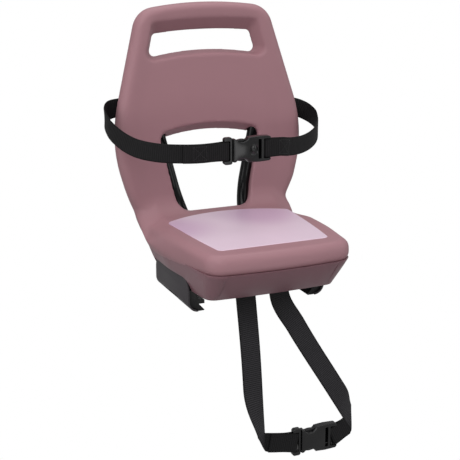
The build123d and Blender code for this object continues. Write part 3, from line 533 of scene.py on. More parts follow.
def node_group(name, inputs, outputs):
    """An empty shader node group with named sockets, each given as (name, kind, default)."""
    group = bpy.data.node_groups.new(name, "ShaderNodeTree")
    for socket, kind, default in inputs:
        made = group.interface.new_socket(socket, in_out="INPUT", socket_type=kind)
        if default is not None:
            made.default_value = default
    for socket, kind in outputs:
        group.interface.new_socket(socket, in_out="OUTPUT", socket_type=kind)
    return group, group.nodes.new("NodeGroupInput"), group.nodes.new("NodeGroupOutput")


def add(tree, kind, **values):
    """A node with attributes and input values set by name."""
    node = tree.nodes.new(kind)
    for key, value in values.items():
        if key in node.inputs:
            node.inputs[key].default_value = value
        else:
            setattr(node, key, value)
    return node


def feed(tree, value, socket):
    """Set a socket to a number, or link another node's output to it."""
    if isinstance(value, (int, float)):
        socket.default_value = value
    else:
        tree.links.new(value, socket)


def maths(tree, operation, *values):
    """The result of a maths node on numbers or other nodes' outputs."""
    node = add(tree, "ShaderNodeMath", operation=operation)
    for value, socket in zip(values, node.inputs):
        feed(tree, value, socket)
    return node.outputs[0]


def scaled(tree, colour, share):
    """A colour times a number or another node's output."""
    node = add(tree, "ShaderNodeVectorMath", operation="SCALE")
    feed(tree, colour, node.inputs[0])
    feed(tree, share, node.inputs["Scale"])
    return node.outputs[0]


def moulded_grain():
    """Fine spark-eroded grain of moulded plastic, and slow drift of its gloss and tone."""
    if "moulded grain" in bpy.data.node_groups:
        return bpy.data.node_groups["moulded grain"]
    tree, source, sink = node_group(
        "moulded grain",
        [("Vector", "NodeSocketVector", None), ("Colour", "NodeSocketColor", None),
         ("Grain size", "NodeSocketFloat", 900.0), ("Drift", "NodeSocketFloat", 0.06),
         ("Roughness", "NodeSocketFloat", 0.45)],
        [("Colour", "NodeSocketColor"), ("Roughness", "NodeSocketFloat"), ("Height", "NodeSocketFloat")])
    given = source.outputs
    grain = add(tree, "ShaderNodeTexNoise", Detail=3.0, Roughness=0.6)
    cloud = add(tree, "ShaderNodeTexNoise", Scale=14.0, Detail=4.0, Roughness=0.55)
    feed(tree, given["Vector"], grain.inputs["Vector"])
    feed(tree, given["Grain size"], grain.inputs["Scale"])
    feed(tree, given["Vector"], cloud.inputs["Vector"])
    amount = maths(tree, "MULTIPLY", maths(tree, "SUBTRACT", cloud.outputs["Fac"], 0.5), given["Drift"])
    feed(tree, scaled(tree, given["Colour"], maths(tree, "ADD", amount, 1.0)), sink.inputs["Colour"])
    feed(tree, maths(tree, "ADD", given["Roughness"], amount), sink.inputs["Roughness"])
    feed(tree, grain.outputs["Fac"], sink.inputs["Height"])
    return tree


def webbing_weave():
    """Weave on a UV map in metres: ribs across the width, broken by the warp, with plain selvedges. The
    colour runs from painted shade in the valleys to painted highlight on the crests, and is darker still as
    painted shade where the painted light value is less."""
    if "webbing weave" in bpy.data.node_groups:
        return bpy.data.node_groups["webbing weave"]
    tree, source, sink = node_group(
        "webbing weave",
        [("Vector", "NodeSocketVector", None), ("Colour", "NodeSocketColor", None),
         ("Painted light", "NodeSocketFloat", 1.0), ("Rib pitch", "NodeSocketFloat", 3.2 * MM),
         ("Selvedge", "NodeSocketFloat", 12.5 * MM)],
        [("Colour", "NodeSocketColor"), ("Roughness", "NodeSocketFloat"), ("Height", "NodeSocketFloat")])
    given = source.outputs
    split = add(tree, "ShaderNodeSeparateXYZ")
    feed(tree, given["Vector"], split.inputs[0])
    along, across = split.outputs["X"], split.outputs["Y"]
    turns = maths(tree, "DIVIDE", along, given["Rib pitch"])
    rib = maths(tree, "SINE", maths(tree, "MULTIPLY", turns, 2 * math.pi))
    warp = maths(tree, "SINE", maths(tree, "MULTIPLY", across, 2 * math.pi / WARP_PITCH))
    inner = maths(tree, "LESS_THAN", maths(tree, "ABSOLUTE", across), given["Selvedge"])
    ribs = maths(tree, "MULTIPLY", maths(tree, "MULTIPLY_ADD", rib, 0.5, 0.5), inner)
    fuzz = add(tree, "ShaderNodeTexNoise", Scale=1600.0, Detail=2.0)
    feed(tree, given["Vector"], fuzz.inputs["Vector"])
    woven = maths(tree, "MULTIPLY_ADD", warp, WARP_SHARE, ribs)
    height = maths(tree, "MULTIPLY_ADD", fuzz.outputs["Fac"], FUZZ_SHARE, woven)
    # The ribbed pattern is real; its colour runs from painted shade in the valleys to painted highlight on
    # the crests
    shade = add(tree, "ShaderNodeMix", data_type="RGBA")
    feed(tree, maths(tree, "MULTIPLY", height, 0.75), shade.inputs["Factor"])
    feed(tree, scaled(tree, given["Colour"], VALLEY_PAINTED_SHADE), shade.inputs["A"])
    feed(tree, scaled(tree, given["Colour"], CREST_PAINTED_HIGHLIGHT), shade.inputs["B"])
    # Painted shade: the colour falls to a quarter where the painted light value is 0
    painted_light_scale = maths(tree, "MULTIPLY_ADD", given["Painted light"], 0.75, 0.25)
    feed(tree, scaled(tree, shade.outputs["Result"], painted_light_scale), sink.inputs["Colour"])
    feed(tree, maths(tree, "MULTIPLY_ADD", fuzz.outputs["Fac"], 0.2, 0.5), sink.inputs["Roughness"])
    feed(tree, height, sink.inputs["Height"])
    return tree


def finished(name, gloss, group, values, source, bump, depth):
    """A material whose colour, roughness and relief come from a shared group with its own values, read at
    the source's coordinates."""
    material = bpy.data.materials.new(name)
    material.use_nodes = True
    tree = material.node_tree
    shader = tree.nodes["Principled BSDF"]
    shader.inputs["Specular IOR Level"].default_value = gloss
    effect = add(tree, "ShaderNodeGroup", node_tree=group)
    for socket, value in values.items():
        effect.inputs[socket].default_value = value
    kind, settings, output = source
    feed(tree, add(tree, kind, **settings).outputs[output], effect.inputs["Vector"])
    relief = add(tree, "ShaderNodeBump", Strength=bump, Distance=depth)
    feed(tree, effect.outputs["Colour"], shader.inputs["Base Color"])
    feed(tree, effect.outputs["Roughness"], shader.inputs["Roughness"])
    feed(tree, effect.outputs["Height"], relief.inputs["Height"])
    feed(tree, relief.outputs["Normal"], shader.inputs["Normal"])
    return material, tree, effect


def moulded(name, colour, roughness, grain=900.0, bump=0.1, drift=0.06, gloss=0.5):
    """A moulded plastic, painted or plated surface: grain, gloss drift and tone drift from the shared
    group."""
    if name in bpy.data.materials:
        return bpy.data.materials[name]
    values = {"Colour": (*colour, 1), "Grain size": grain, "Drift": drift, "Roughness": roughness}
    source = ("ShaderNodeTexCoord", {}, "Object")
    return finished(name, gloss, moulded_grain(), values, source, bump, GRAIN_DEPTH)[0]


def shell_foam():
    """Satin skin of the moulded shell."""
    return moulded("shell foam", look().shell_colour, 0.48, grain=750.0, bump=0.12, drift=0.05, gloss=0.25)


def pad_skin():
    """The pad's skin, with two darker lilac spots painted into its colour: a painted reflection of the
    backrest at the back, and painted shade along the left.
    """
    material = moulded("pad skin", look().pad_colour, 0.38, grain=1100.0, bump=0.1, drift=0.08, gloss=0.3)
    tree = material.node_tree
    place_at = add(tree, "ShaderNodeTexCoord")
    shares = []
    for spot, reach in PAD_REFLECTION_SHADE_SPOTS:
        away = add(tree, "ShaderNodeVectorMath", operation="DISTANCE")
        away.inputs[1].default_value = spot
        fade = add(tree, "ShaderNodeMapRange", interpolation_type="SMOOTHSTEP")
        fade.inputs["From Min"].default_value = reach
        fade.inputs["From Max"].default_value = 0.25 * reach
        feed(tree, place_at.outputs["Object"], away.inputs[0])
        feed(tree, away.outputs["Value"], fade.inputs["Value"])
        shares.append(fade.outputs["Result"])
    # Painted reflection and painted shade: the pad's colour blends to the darker lilac near each spot
    tint = add(tree, "ShaderNodeMix", data_type="RGBA")
    tint.inputs["A"].default_value = (*look().pad_colour, 1)
    tint.inputs["B"].default_value = (*look().reflection_shade_colour, 1)
    feed(tree, maths(tree, "MAXIMUM", *shares), tint.inputs["Factor"])
    effect = next(node for node in tree.nodes if node.type == "GROUP")
    feed(tree, tint.outputs["Result"], effect.inputs["Colour"])
    return material


def base_plastic():
    """Semi-gloss plastic of the tray."""
    return moulded("base plastic", look().base_colour, 0.34, grain=1400.0, bump=0.05, drift=0.05, gloss=0.25)


def buckle_plastic():
    """Glossy black plastic of the buckles."""
    return moulded("buckle plastic", look().buckle_colour, 0.2, grain=1500.0, bump=0.04, drift=0.08)


def jaw_plastic():
    """Satin black plastic of jaws, caps and guides."""
    return moulded("jaw plastic", look().buckle_colour, 0.42, grain=1300.0, bump=0.1, drift=0.08, gloss=0.3)


def cover_plastic():
    """Matte grey plastic of the clamps' covers."""
    return moulded("cover plastic", look().clamp_colour, 0.5, grain=1000.0, bump=0.2, drift=0.15, gloss=0.35)


def tube_paint():
    """Gloss black paint of the back frame."""
    return moulded("tube paint", look().tube_colour, 0.16, grain=260.0, bump=0.02, drift=0.04, gloss=0.24)


def zinc_steel():
    """Zinc-plated steel: cloudy crystals in its tone and gloss."""
    material = moulded("zinc steel", look().zinc_colour, 0.32, grain=420.0, bump=0.08, drift=0.25)
    material.node_tree.nodes["Principled BSDF"].inputs["Metallic"].default_value = 1.0
    return material


def stitch_thread():
    """Thread of the belts' sewn squares."""
    return moulded("stitch thread", look().thread_colour, 0.55, grain=2600.0, bump=0.3, drift=0.2)


def webbing_yarn(name, breadth, tone):
    """Woven webbing of a given breadth, on its own UV map, darkened as painted shade where its mesh's painted
    light value is low.
    """
    if name in bpy.data.materials:
        return bpy.data.materials[name]
    # tone scales the yarn's colour: below 1 it is painted shade, above 1 painted light
    colour = [tone * channel for channel in look().webbing_colour]
    values = {"Colour": (*colour, 1), "Rib pitch": look().rib_pitch, "Selvedge": SELVEDGE_AT * breadth}
    source = ("ShaderNodeUVMap", {"uv_map": "UVMap"}, "UV")
    material, tree, effect = finished(name, 0.22, webbing_weave(), values, source, WEAVE_BUMP, WEAVE_DEPTH)
    feed(tree, add(tree, "ShaderNodeAttribute", attribute_name="painted_light").outputs["Fac"], effect.inputs["Painted light"])
    return material


def belt_yarn_painted_shade():
    """Webbing of the waist belt, its yarn darkened to 0.4 of its colour as painted shade."""
    return webbing_yarn("belt yarn, painted shade", look().belt_width, 0.4)


def strap_yarn_painted_light():
    """Webbing of the safety strap, the same yarn lightened to 1.7 of its colour as painted light."""
    return webbing_yarn("strap yarn, painted light", look().strap_width, 1.7)


def fill_recess(points):
    """Lift the floor of the pad's recess to just under the seat's top, since the pad covers it."""
    low, high = node_box("seat_pad")
    margin, under = 3 * MM, 1.5 * MM
    inside = np.all((points[:, :2] > low[:2] - margin) & (points[:, :2] < high[:2] + margin), axis=1)
    floor = inside & (points[:, 2] > low[2] - under) & (points[:, 2] < SEAT_TOP * MM)
    points[floor, 2] = SEAT_TOP * MM
    return points


def hollow_backrest(points):
    """Push the backrest's front face in: y += depth s(x) s(z) f, where s rises from the rolled side and
    from the lap, and f falls from 1 at the front face to 0 at the rear face."""
    x, y, z = points.T
    level = np.clip(((z - SLICE_START) / SLICE_HEIGHT).astype(int), 0, SLICE_COUNT - 1)
    half = np.zeros(SLICE_COUNT)
    np.maximum.at(half, level, np.abs(x))
    window = 2 * SLICE_SPAN + 1
    half = np.convolve(np.pad(half, SLICE_SPAN, mode="edge"), np.ones(window) / window, mode="valid")
    edge = half[level] - look().bolster - np.abs(x)
    rear = (BACK_REAR_AT_SEAT + BACK_SLOPE * (z / MM - SEAT_TOP)) * MM - x * x / (2 * BACK_CURVE_R * MM)
    front = np.clip((rear - y) / (BACK_THICK * MM), 0, 1)
    depth = smoothstep(0, DISH_EDGE, edge) * smoothstep(*DISH_LOW_Z, z) * (1 - smoothstep(*DISH_HIGH_Z, z))
    middle = 0.75 + 0.25 * smoothstep(0, DISH_MIDDLE, edge)
    points[:, 1] = y + look().dish_depth * depth * middle * front
    return points


def draft_seat(points):
    """Lean the seat's front and its rear sides in towards the top, and let its edge fall beside the lap: x
    and y move by -draft s(z), z by -drop s(x) s(y) s(z), where s are smooth steps that keep the middle, the
    parting line and the backrest in place."""
    x, y, z = points.T
    rise = look().seat_draft * smoothstep(*FRONT_Z, z) * (1 - smoothstep(*FRONT_Y, y))
    start = KNEE_LOW_Z + KNEE_REAR_LIFT * smoothstep(*KNEE_LIFT_Y, y)
    lean = smoothstep(start, start + KNEE_BAND, z) * (1 - smoothstep(*KNEE_HIGH_Z, z))
    lean = lean * smoothstep(*KNEE_START_Y, y) * (1 - smoothstep(*KNEE_END_Y, y))
    side = np.sign(x) * smoothstep(*KNEE_X, np.abs(x))
    edge = smoothstep(*LAP_X, np.abs(x)) * smoothstep(*LAP_Y, y)
    fall = look().lap_drop * edge * smoothstep(*LAP_LOW_Z, z) * (1 - smoothstep(*LAP_HIGH_Z, z))
    points[:, 0] = x - look().knee_draft * lean * side
    points[:, 1] = y + rise
    points[:, 2] = z - fall
    return points


def drop_skirts(points):
    """Draw the shell's side walls down over the tray, more towards the rear: z moves by -drop s(y) s(e)
    s(z), where e is the distance past the seat's tapered edge, and below the parting line x follows the
    tray's slope."""
    x, y, z = points.T
    half = SEAT_HALF - SEAT_TAPER * np.clip((TAPER_START_Y - y) / TAPER_LENGTH, 0, 1)
    side = smoothstep(*SKIRT_EDGE, np.abs(x) - half)
    along = smoothstep(*SKIRT_START_Y, y) * (1 - smoothstep(*SKIRT_END_Y, y))
    fall = look().skirt_drop * side * along * (1 - smoothstep(*SKIRT_Z, z))
    low = z - fall
    points[:, 0] = x - np.sign(x) * SKIRT_SLOPE * np.maximum(PARTING_Z - low, 0) * (fall > 0)
    points[:, 2] = low
    return points


def trim_heels(points, half, ease):
    """Hold the heels inside a slanted plane on either side: |x| keeps under b = half - slant (y - heel) +
    flare (z - parting) by the smooth minimum (|x| + b - ((|x| - b)^2 + ease^2)^(1/2)) / 2."""
    x, y, z = points.T
    bound = half - HEEL_SLANT * (y - HEEL_Y) + HEEL_FLARE * (z - PARTING_Z)
    wide = np.abs(x)
    points[:, 0] = np.sign(x) * (wide + bound - np.hypot(wide - bound, ease)) / 2
    return points


class SEAT_OT_shell(bpy.types.Operator):
    """Moulded shell with its rolled sides, the hollow of the backrest and the skirts over the tray"""
    bl_idname = "child_seat.shell"
    bl_label = "Shell"

    def execute(self, context):
        obj = remeshed(new_object("shell", merged_mesh("seat_shell", "shell")), look().shell_voxel)
        points = relaxed(obj.data, fill_recess(mesh_points(obj.data)), rounds=14)
        points = drop_skirts(draft_seat(hollow_backrest(points)))
        points = relaxed(obj.data, trim_heels(points, look().heel_half, HEEL_EASE), rounds=8)
        set_mesh_points(obj.data, points)
        obj.data.shade_smooth()
        place(obj, shell_foam(), ["seat_shell"])
        return {"FINISHED"}


def pad_points(turns=360):
    """Rings from the pad's underside over its edge to its middle: P = M + (r(turn) - d) (cos, sin), where r
    is the CAD pad's outline by angle, d the ring's distance from the edge, and the top rises as crown (1 -
    (1 - d/r)^2)."""
    low, high = node_box("seat_pad")
    middle = (low[:2] + high[:2]) / 2
    outline = mesh_points(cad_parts["seat_pad"].data)
    outline = outline[outline[:, 2] < low[2] + 0.1 * MM][:, :2] - middle
    order = np.argsort(np.arctan2(outline[:, 1], outline[:, 0]))
    corners = np.vstack([outline[order], outline[order[:1]]])
    share = np.linspace(0, 1, 40, endpoint=False)[:, None]
    dense = (corners[:-1, None] + share * np.diff(corners, axis=0)[:, None]).reshape(-1, 2)
    angle = np.unwrap(np.arctan2(dense[:, 1], dense[:, 0]))
    turn = np.linspace(-np.pi, np.pi, turns, endpoint=False)
    rim = np.interp(turn, angle, np.linalg.norm(dense, axis=1), period=2 * np.pi)
    inset, height = np.array(PAD_SECTION).T[:, :, None] * MM
    inward = np.linspace(0.16, 0.985, 28)[:, None]
    away = np.vstack([rim - inset, (rim - inset[-1]) * (1 - inward)])
    lift = np.vstack([height, np.full((len(inward), 1), height[-1, 0])])
    lift = lift + look().pad_crown * np.where(lift > height[-1] - 0.1 * MM, 1 - (away / rim) ** 2, 0)
    flat = middle + away[:, :, None] * np.stack([np.cos(turn), np.sin(turn)], axis=-1)
    return np.concatenate([flat, (low[2] + lift)[:, :, None]], axis=-1)


class SEAT_OT_pad(bpy.types.Operator):
    """Soft inlay: a low crowned pad with an eased edge"""
    bl_idname = "child_seat.pad"
    bl_label = "Seat Pad"

    def execute(self, context):
        obj = place(surface("pad", pad_points()), pad_skin(), ["seat_pad"])
        return {"FINISHED"}


class SEAT_OT_base(bpy.types.Operator):
    """Tray under the seat, with moulded edges and a rim that reaches into the shell"""
    bl_idname = "child_seat.base"
    bl_label = "Base Tray"

    def execute(self, context):
        obj = eased_copy("base_tray", "base", width=0.6 * MM)
        points = mesh_points(obj.data)
        low, high = points.min(axis=0), points.max(axis=0)
        rim = smoothstep(high[2] - TRAY_RIM, high[2], points[:, 2])[:, None]
        middle, half = (low + high) / 2, (high - low) / 2
        front = 1 - smoothstep(*TRAY_FRONT_Y, points[:, 1])[:, None]
        spread = front * (points - middle) / half * look().tray_flush
        points += rim * (spread * (1, 1, 0) + (0, 0, look().tray_lip))
        set_mesh_points(obj.data, trim_heels(points, look().heel_half - TRAY_INSET, TRAY_EASE))
        place(obj, base_plastic(), ["base_tray"])
        return {"FINISHED"}


class SEAT_OT_back_frame(bpy.types.Operator):
    """Bent tube in gloss paint, with its end caps"""
    bl_idname = "child_seat.back_frame"
    bl_label = "Back Frame"

    def execute(self, context):
        dress_node("back_frame", tube_paint())
        dress_node("frame_caps", jaw_plastic())
        return {"FINISHED"}


class SEAT_OT_clamps(bpy.types.Operator):
    """Clamps for the rack's rails: covers and jaws, both sides"""
    bl_idname = "child_seat.clamps"
    bl_label = "Clamps"

    def execute(self, context):
        for side in ("left", "right"):
            node, body = f"clamp_cover_{side}", f"{side}_clamp"
            cover = eased_copy(node, f"cover_{side}", width=0.7 * MM)
            place(cover, cover_plastic(), [node], body)
            node = f"clamp_jaw_{side}"
            jaw = eased_copy(node, f"jaw_{side}", width=0.5 * MM)
            place(jaw, jaw_plastic(), [node], body)
        return {"FINISHED"}


def back_of_seat(x):
    """A point of the waist belt on the backrest's rear face, in millimetres."""
    (left, left_z), (right, right_z) = BELT_BACK_LEFT, BELT_BACK_RIGHT
    z = left_z + (x - left) / (right - left) * (right_z - left_z)
    rear = BACK_REAR_AT_SEAT + BACK_SLOPE * (z - SEAT_TOP) - x * x / (2 * BACK_CURVE_R)
    return (x, rear + BELT_OFF_BACK, z)


def bar_front(way):
    """The webbing's turn in front of a bar, out to the far side of the slot that it goes through."""
    nose = PLUG_NOSE if way < 0 else SOCKET_NOSE
    return [(-8, 3.0), (-2, 3.9), (nose - 2.2, 3.7), (nose, 0), (nose - 2.2, -3.7)]


def bar_points(bar, way, places):
    """Points about a waist buckle's bar, from (distance along the belt, distance to the front)."""
    return np.array([np.array(WAIST_MOUTH) + (bar - way * along, -out, 0) for along, out in places]) * MM


def belt_up(line):
    """The belt's width stands upright at the front and lies along the leaning face at the back."""
    lean = BACK_SLOPE * smoothstep(*BELT_LEANS_Y, line[:, 1])
    return np.stack([np.zeros(len(line)), lean, np.ones(len(line))], axis=1)


def waist_line(bar, way, side, back, tail):
    """The waist belt's line from its sewn tail, round the bar, along the side and onto the back. The tail
    lies on the belt's own front, one thickness off it."""
    route = np.array(side + [back_of_seat(x) for x in back]) * MM
    belt = smooth_line(np.vstack([bar_points(bar, way, BAR_BEHIND), route]), BELT_STEP)
    normal = web_frame(belt, belt_up(belt))[1]
    length = arc_length(belt)
    sewn = (length > SEWN_FROM) & (length < tail)
    over = (belt + way * normal * SEWN_OFF * look().web_thick)[sewn][::-6]
    turn = bar_points(bar, way, bar_front(way))
    return smooth_line(np.vstack([over, turn, belt[:-2:4], belt[-1:]]), BELT_STEP)


def threads(name, line, spots, ways, long=1.0 * MM, thick=0.3 * MM):
    """Threads as flattened spindles on a belt: in the belt's flat (s, a) they are S + V l cos(u) + V' t
    sin(u) cos(v), raised by t sin(u) sin(v), and carried to P = C(s) + W(s) a + N(s) h on the belt's
    front."""
    rings, sides = 5, 6
    u = np.linspace(0, np.pi, rings)[:, None]
    v = np.linspace(0, 2 * np.pi, sides, endpoint=False)[None, :]
    along = (long * np.cos(u) + 0 * v).ravel()
    aside = (thick * np.sin(u) * np.cos(v)).ravel()
    out = (thick * np.sin(u) * np.sin(v)).ravel()
    square = np.stack([-ways[:, 1], ways[:, 0]], axis=1)
    flat = spots[:, None] + ways[:, None] * along[:, None] + square[:, None] * aside[:, None]
    width, normal = web_frame(line, belt_up(line))
    normal = -np.sign(normal[:, 1:2]) * normal
    length = arc_length(line)
    centre, across, front = (
        np.stack([np.interp(flat[..., 0], length, row) for row in curve.T], axis=-1)
        for curve in (line, width, normal))
    points = centre + across * flat[..., 1:] + front * (look().web_thick / 2 + out)[:, None]
    first = np.arange(len(spots)) * len(along)
    faces = (grid_faces(rings, sides, True)[None] + first[:, None, None]).reshape(-1, 4)
    mesh = bpy.data.meshes.new(name)
    mesh.from_pydata(points.reshape(-1, 3).tolist(), [], faces.tolist())
    return new_object(name, tidied(mesh, 0.005 * MM))


def stitch_box(name, line, start, body):
    """A sewn square with a cross in it on the belt's tail, its middle at the distance start from the tail's
    end."""
    half, pitch = 10.5 * MM, 2.6 * MM
    seams = half * np.array([[-1, -1], [1, -1], [1, 1], [-1, 1], [-1, -1], [1, 1], [1, -1], [-1, 1]])
    places, ways = [], []
    for first, last in zip(seams[:-1], seams[1:]):
        count = max(2, int(np.linalg.norm(last - first) / pitch))
        share = (np.arange(count) + 0.5) / count
        places.append(first + share[:, None] * (last - first))
        ways.append(np.repeat([unit(last - first)], count, axis=0))
    obj = threads(name, line, np.concatenate(places) + (start, 0), np.concatenate(ways))
    place(obj, stitch_thread(), body=body)


class SEAT_OT_waist_belt(bpy.types.Operator):
    """Waist belt: the left half up to the right-hand guide, and the right half"""
    bl_idname = "child_seat.waist_belt"
    bl_label = "Waist Belt"

    def execute(self, context):
        back = [-140, -90, -40, 10, BELT_JOIN_X - BELT_JOIN_GAP]
        line = waist_line(PLUG_BAR, -1, WAIST_LEFT_SIDE, back, SEWN_LEFT_TO)
        left = webbing_along("waist_belt_left", line, belt_up(line), look().belt_width)
        place(left, belt_yarn_painted_shade(), ["belt_left", "belt_rear"], None)
        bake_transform(left)
        stitch_box("waist_stitches_left", line, STITCHES_LEFT, "waist_plug")
        back = [142, 110, 80, BELT_JOIN_X + BELT_JOIN_GAP]
        line = waist_line(SOCKET_BAR, 1, WAIST_RIGHT_SIDE, back, SEWN_RIGHT_TO)
        right = webbing_along("waist_belt_right", line, belt_up(line), look().belt_width)
        place(right, belt_yarn_painted_shade(), ["belt_right"])
        stitch_box("waist_stitches_right", line, STITCHES_RIGHT, "seat")
        return {"FINISHED"}


def strap_profile(run, way):
    """The strap past its fold, as (distance on, distance to the front), and its length there: to the
    buckle's bar, round it and back along the tail, and lifted off the fold's inside."""
    places = np.array([STRAP_RUN_IN] + BAR_BEHIND[::-1] + bar_front(way)[::-1] + STRAP_TAIL) * MM
    profile = smooth_line(np.vstack([(0, 0), places + (run, 0)]), STRAP_STEP)
    length = arc_length(profile)
    seam = 2 * look().fold_radius - 1.1 * look().web_thick
    profile[:, 1] += seam * smoothstep(0.05 * run, 0.6 * run, profile[:, 0])
    return profile[1:], length[1:]


def flat_strip(strand, profile, fold, into, across, out):
    """The strap laid flat, straight on past its fold: points in the plane P = C + S a - T b sin(slope), and
    their depth e = D + b cos(slope), where C and D follow the strand and then the profile."""
    hung = arc_length(strand)
    line = np.vstack([strand, fold + profile[:, :1] * into])
    depth = np.concatenate([np.zeros(len(strand)), profile[:, 1]])
    curve = np.column_stack([np.concatenate([hung, hung[-1] + profile[:, 0]]), depth])
    slope = unit(np.gradient(curve, axis=0))
    onward = np.arange(1, len(profile) + 1)[:, None] * MM
    tangent = unit(np.gradient(np.vstack([strand, fold + onward * into]), axis=0))
    side = np.column_stack([-tangent[:, 1], tangent[:, 0]])
    flat = line[:, None] + side[:, None] * across[:, None]
    flat = flat - tangent[:, None] * (slope[:, 1:, None] * out[:, None])
    return flat, depth[:, None] + slope[:, :1] * out[None]


def fold_over(flat, own, fold, beyond):
    """Fold the flat strip back: a point at distance d past the fold line turns through d/r about it, so
    that it moves by (r - e) sin(d/r) - d square to the line and goes to r - (r - e) cos(d/r) in depth."""
    radius = look().fold_radius
    past = (flat - fold) @ beyond + np.pi * radius / 2
    angle = np.clip(past / radius, 0, np.pi)
    back = (radius - own) * np.sin(angle) - np.maximum(past - np.pi * radius, 0) - past
    flat = flat + np.where(past > 0, back, 0)[..., None] * beyond
    return flat, radius - (radius - own) * np.cos(angle)


def strap_twist(along, lean, turn, turns):
    """Angle of the strap about its inner edge: a slight lean on the way down, and the whole turn at the
    fold."""
    return lean * smoothstep(*STRAP_LEANS, along) + (turn - lean) * smoothstep(*turns, along)


def folded_strap(name, route, bar, way, lean, turn, turns):
    """Webbing in an upright plane, folded over at the last corner of its route and led round its buckle's
    bar. What lies at distance q outside the strand's inner edge is then turned about that edge by the twist
    w: it moves in by q (1 - cos(w)) and in depth by q sin(w), where q is kept smooth at 0 by (q + (q^2 +
    soft^2)^(1/2)) / 2."""
    route = np.array(route) * MM
    fold, end = route[-1], (np.array(SAFETY_MOUTH) + (bar, 0)) * MM
    into, away = unit(fold - route[-2]), unit(end - fold)
    crease = unit(into + away)
    beyond = np.array([crease[1], -crease[0]])
    beyond = beyond * np.sign(beyond @ into)
    half, thick, soft = look().strap_width / 2, look().web_thick / 2, 2 * MM
    across, out = web_profile(STRAP_SIDES)
    strand = smooth_line(route, STRAP_STEP)
    profile, past_fold = strap_profile(np.linalg.norm(end - fold), way)
    flat, own = flat_strip(strand, profile, fold, into, half * across, thick * out)
    flat, deep = fold_over(flat, own, fold, beyond)
    inward = unit(away - (away @ into) * into)
    reach = (flat - fold - half * inward) @ -inward
    reach = (reach + np.hypot(reach, soft)) / 2
    twist = strap_twist((flat - fold) @ into, lean, turn, turns)
    flat = flat + inward * (reach * (1 - np.cos(twist)))[..., None]
    deep = deep + way * reach * np.sin(twist)
    points = np.stack([flat[..., 0], STRAP_Y * MM + deep, flat[..., 1]], axis=-1)
    hung = arc_length(strand)
    length = np.concatenate([hung, hung[-1] + past_fold])
    uv = np.stack(np.broadcast_arrays(length[:, None], half * across), axis=-1)
    # Painted shade: darker just under the tray and on the tail past the fold
    painted_light = smoothstep(*STRAP_PAINTED_SHADE_ENDS, length) * (1 - smoothstep(*STRAP_PAINTED_SHADE_STARTS, length - hung[-1]))
    return surface(name, points, uv=uv, painted_light=painted_light)


class SEAT_OT_safety_strap(bpy.types.Operator):
    """Safety strap: each half hangs from the rod, folds over at its corner and turns round a buckle's
    bar"""
    bl_idname = "child_seat.safety_strap"
    bl_label = "Safety Strap"

    def execute(self, context):
        turn = look().fold_turn
        left = folded_strap(
            "safety_strap_left", STRAP_LEFT_ROUTE, PLUG_BAR, -1, 0.0, turn, STRAP_TURNS_LEFT)
        place(left, strap_yarn_painted_light(), ["strap_left", "strap_left_anchor"], None)
        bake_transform(left)
        right = folded_strap(
            "safety_strap_right", STRAP_RIGHT_ROUTE, SOCKET_BAR, 1, 0.1 * turn, 0.7 * turn, STRAP_TURNS_RIGHT)
        place(right, strap_yarn_painted_light(), ["strap_right"])
        return {"FINISHED"}


def moulded_copy(node, name):
    """A rigid CAD node in an even, fine mesh, its edges eased as moulding leaves them."""
    obj = remeshed(new_object(name, merged_mesh(node, name)), look().buckle_voxel)
    set_mesh_points(obj.data, relaxed(obj.data, mesh_points(obj.data), rounds=5))
    obj.data.shade_smooth()
    return obj


def arm_points(side):
    """A release arm in the socket's side notch: at x its section reaches from the notch's edge, a parabola
    v0 = floor + ((x - middle) / spread)^2, to v1 = outer + bow sin(pi t), and is rounded as |v|^4 + |d|^4 =
    1."""
    share = np.linspace(0, 1, 32)[:, None]
    x = NOTCH_START + share * (NOTCH_END - NOTCH_START)
    inner = np.maximum(NOTCH_FLOOR + ((x - NOTCH_MIDDLE_X) / NOTCH_SPREAD) ** 2, ARM_INNER)
    outer = np.maximum(ARM_OUTER + ARM_BOW * np.sin(np.pi * share), inner + 0.2)
    turn = np.linspace(0, 2 * np.pi, 24, endpoint=False)[None, :]
    wide = np.sign(np.cos(turn)) * np.abs(np.cos(turn)) ** 0.5
    deep = np.sign(np.sin(turn)) * np.abs(np.sin(turn)) ** 0.5
    across = (inner + outer) / 2 + (outer - inner) / 2 * wide
    return np.stack(np.broadcast_arrays(x, ARM_DEPTH * deep, side * across), axis=-1) * MM


def crowned_socket(points, button):
    """Crown the socket's two faces: y += sign(y) c (1 - (x - m)^2 / p^2) (1 - z^2 / q^2). The front may
    have an oval button: e is the distance from its middle in half axes, the face sinks at e = 1 to the left
    and right, and rises within."""
    x, y, z = points.T / MM
    long, tall = SOCKET_HALF
    bulge = np.clip(1 - ((x - SOCKET_MIDDLE_X) / long) ** 2, 0, 1) * np.clip(1 - (z / tall) ** 2, 0, 1)
    outside = smoothstep(*SOCKET_FACE_Y, np.abs(y))
    rise = SOCKET_CROWN * bulge * outside * np.sign(y)
    if button:
        aside = x - BUTTON_X
        around = np.hypot(aside / BUTTON_HALF[0], z / BUTTON_HALF[1])
        flank = np.abs(aside) / np.maximum(np.hypot(aside, z), 0.01)
        groove = GROOVE_DEPTH * flank * np.exp(-((around - 1) / GROOVE_WIDTH) ** 2)
        rise = rise - (BUTTON_RISE * np.clip(1 - around ** 2, 0, 1) - groove) * outside * (y < 0)
    points[:, 1] += rise * MM
    return points


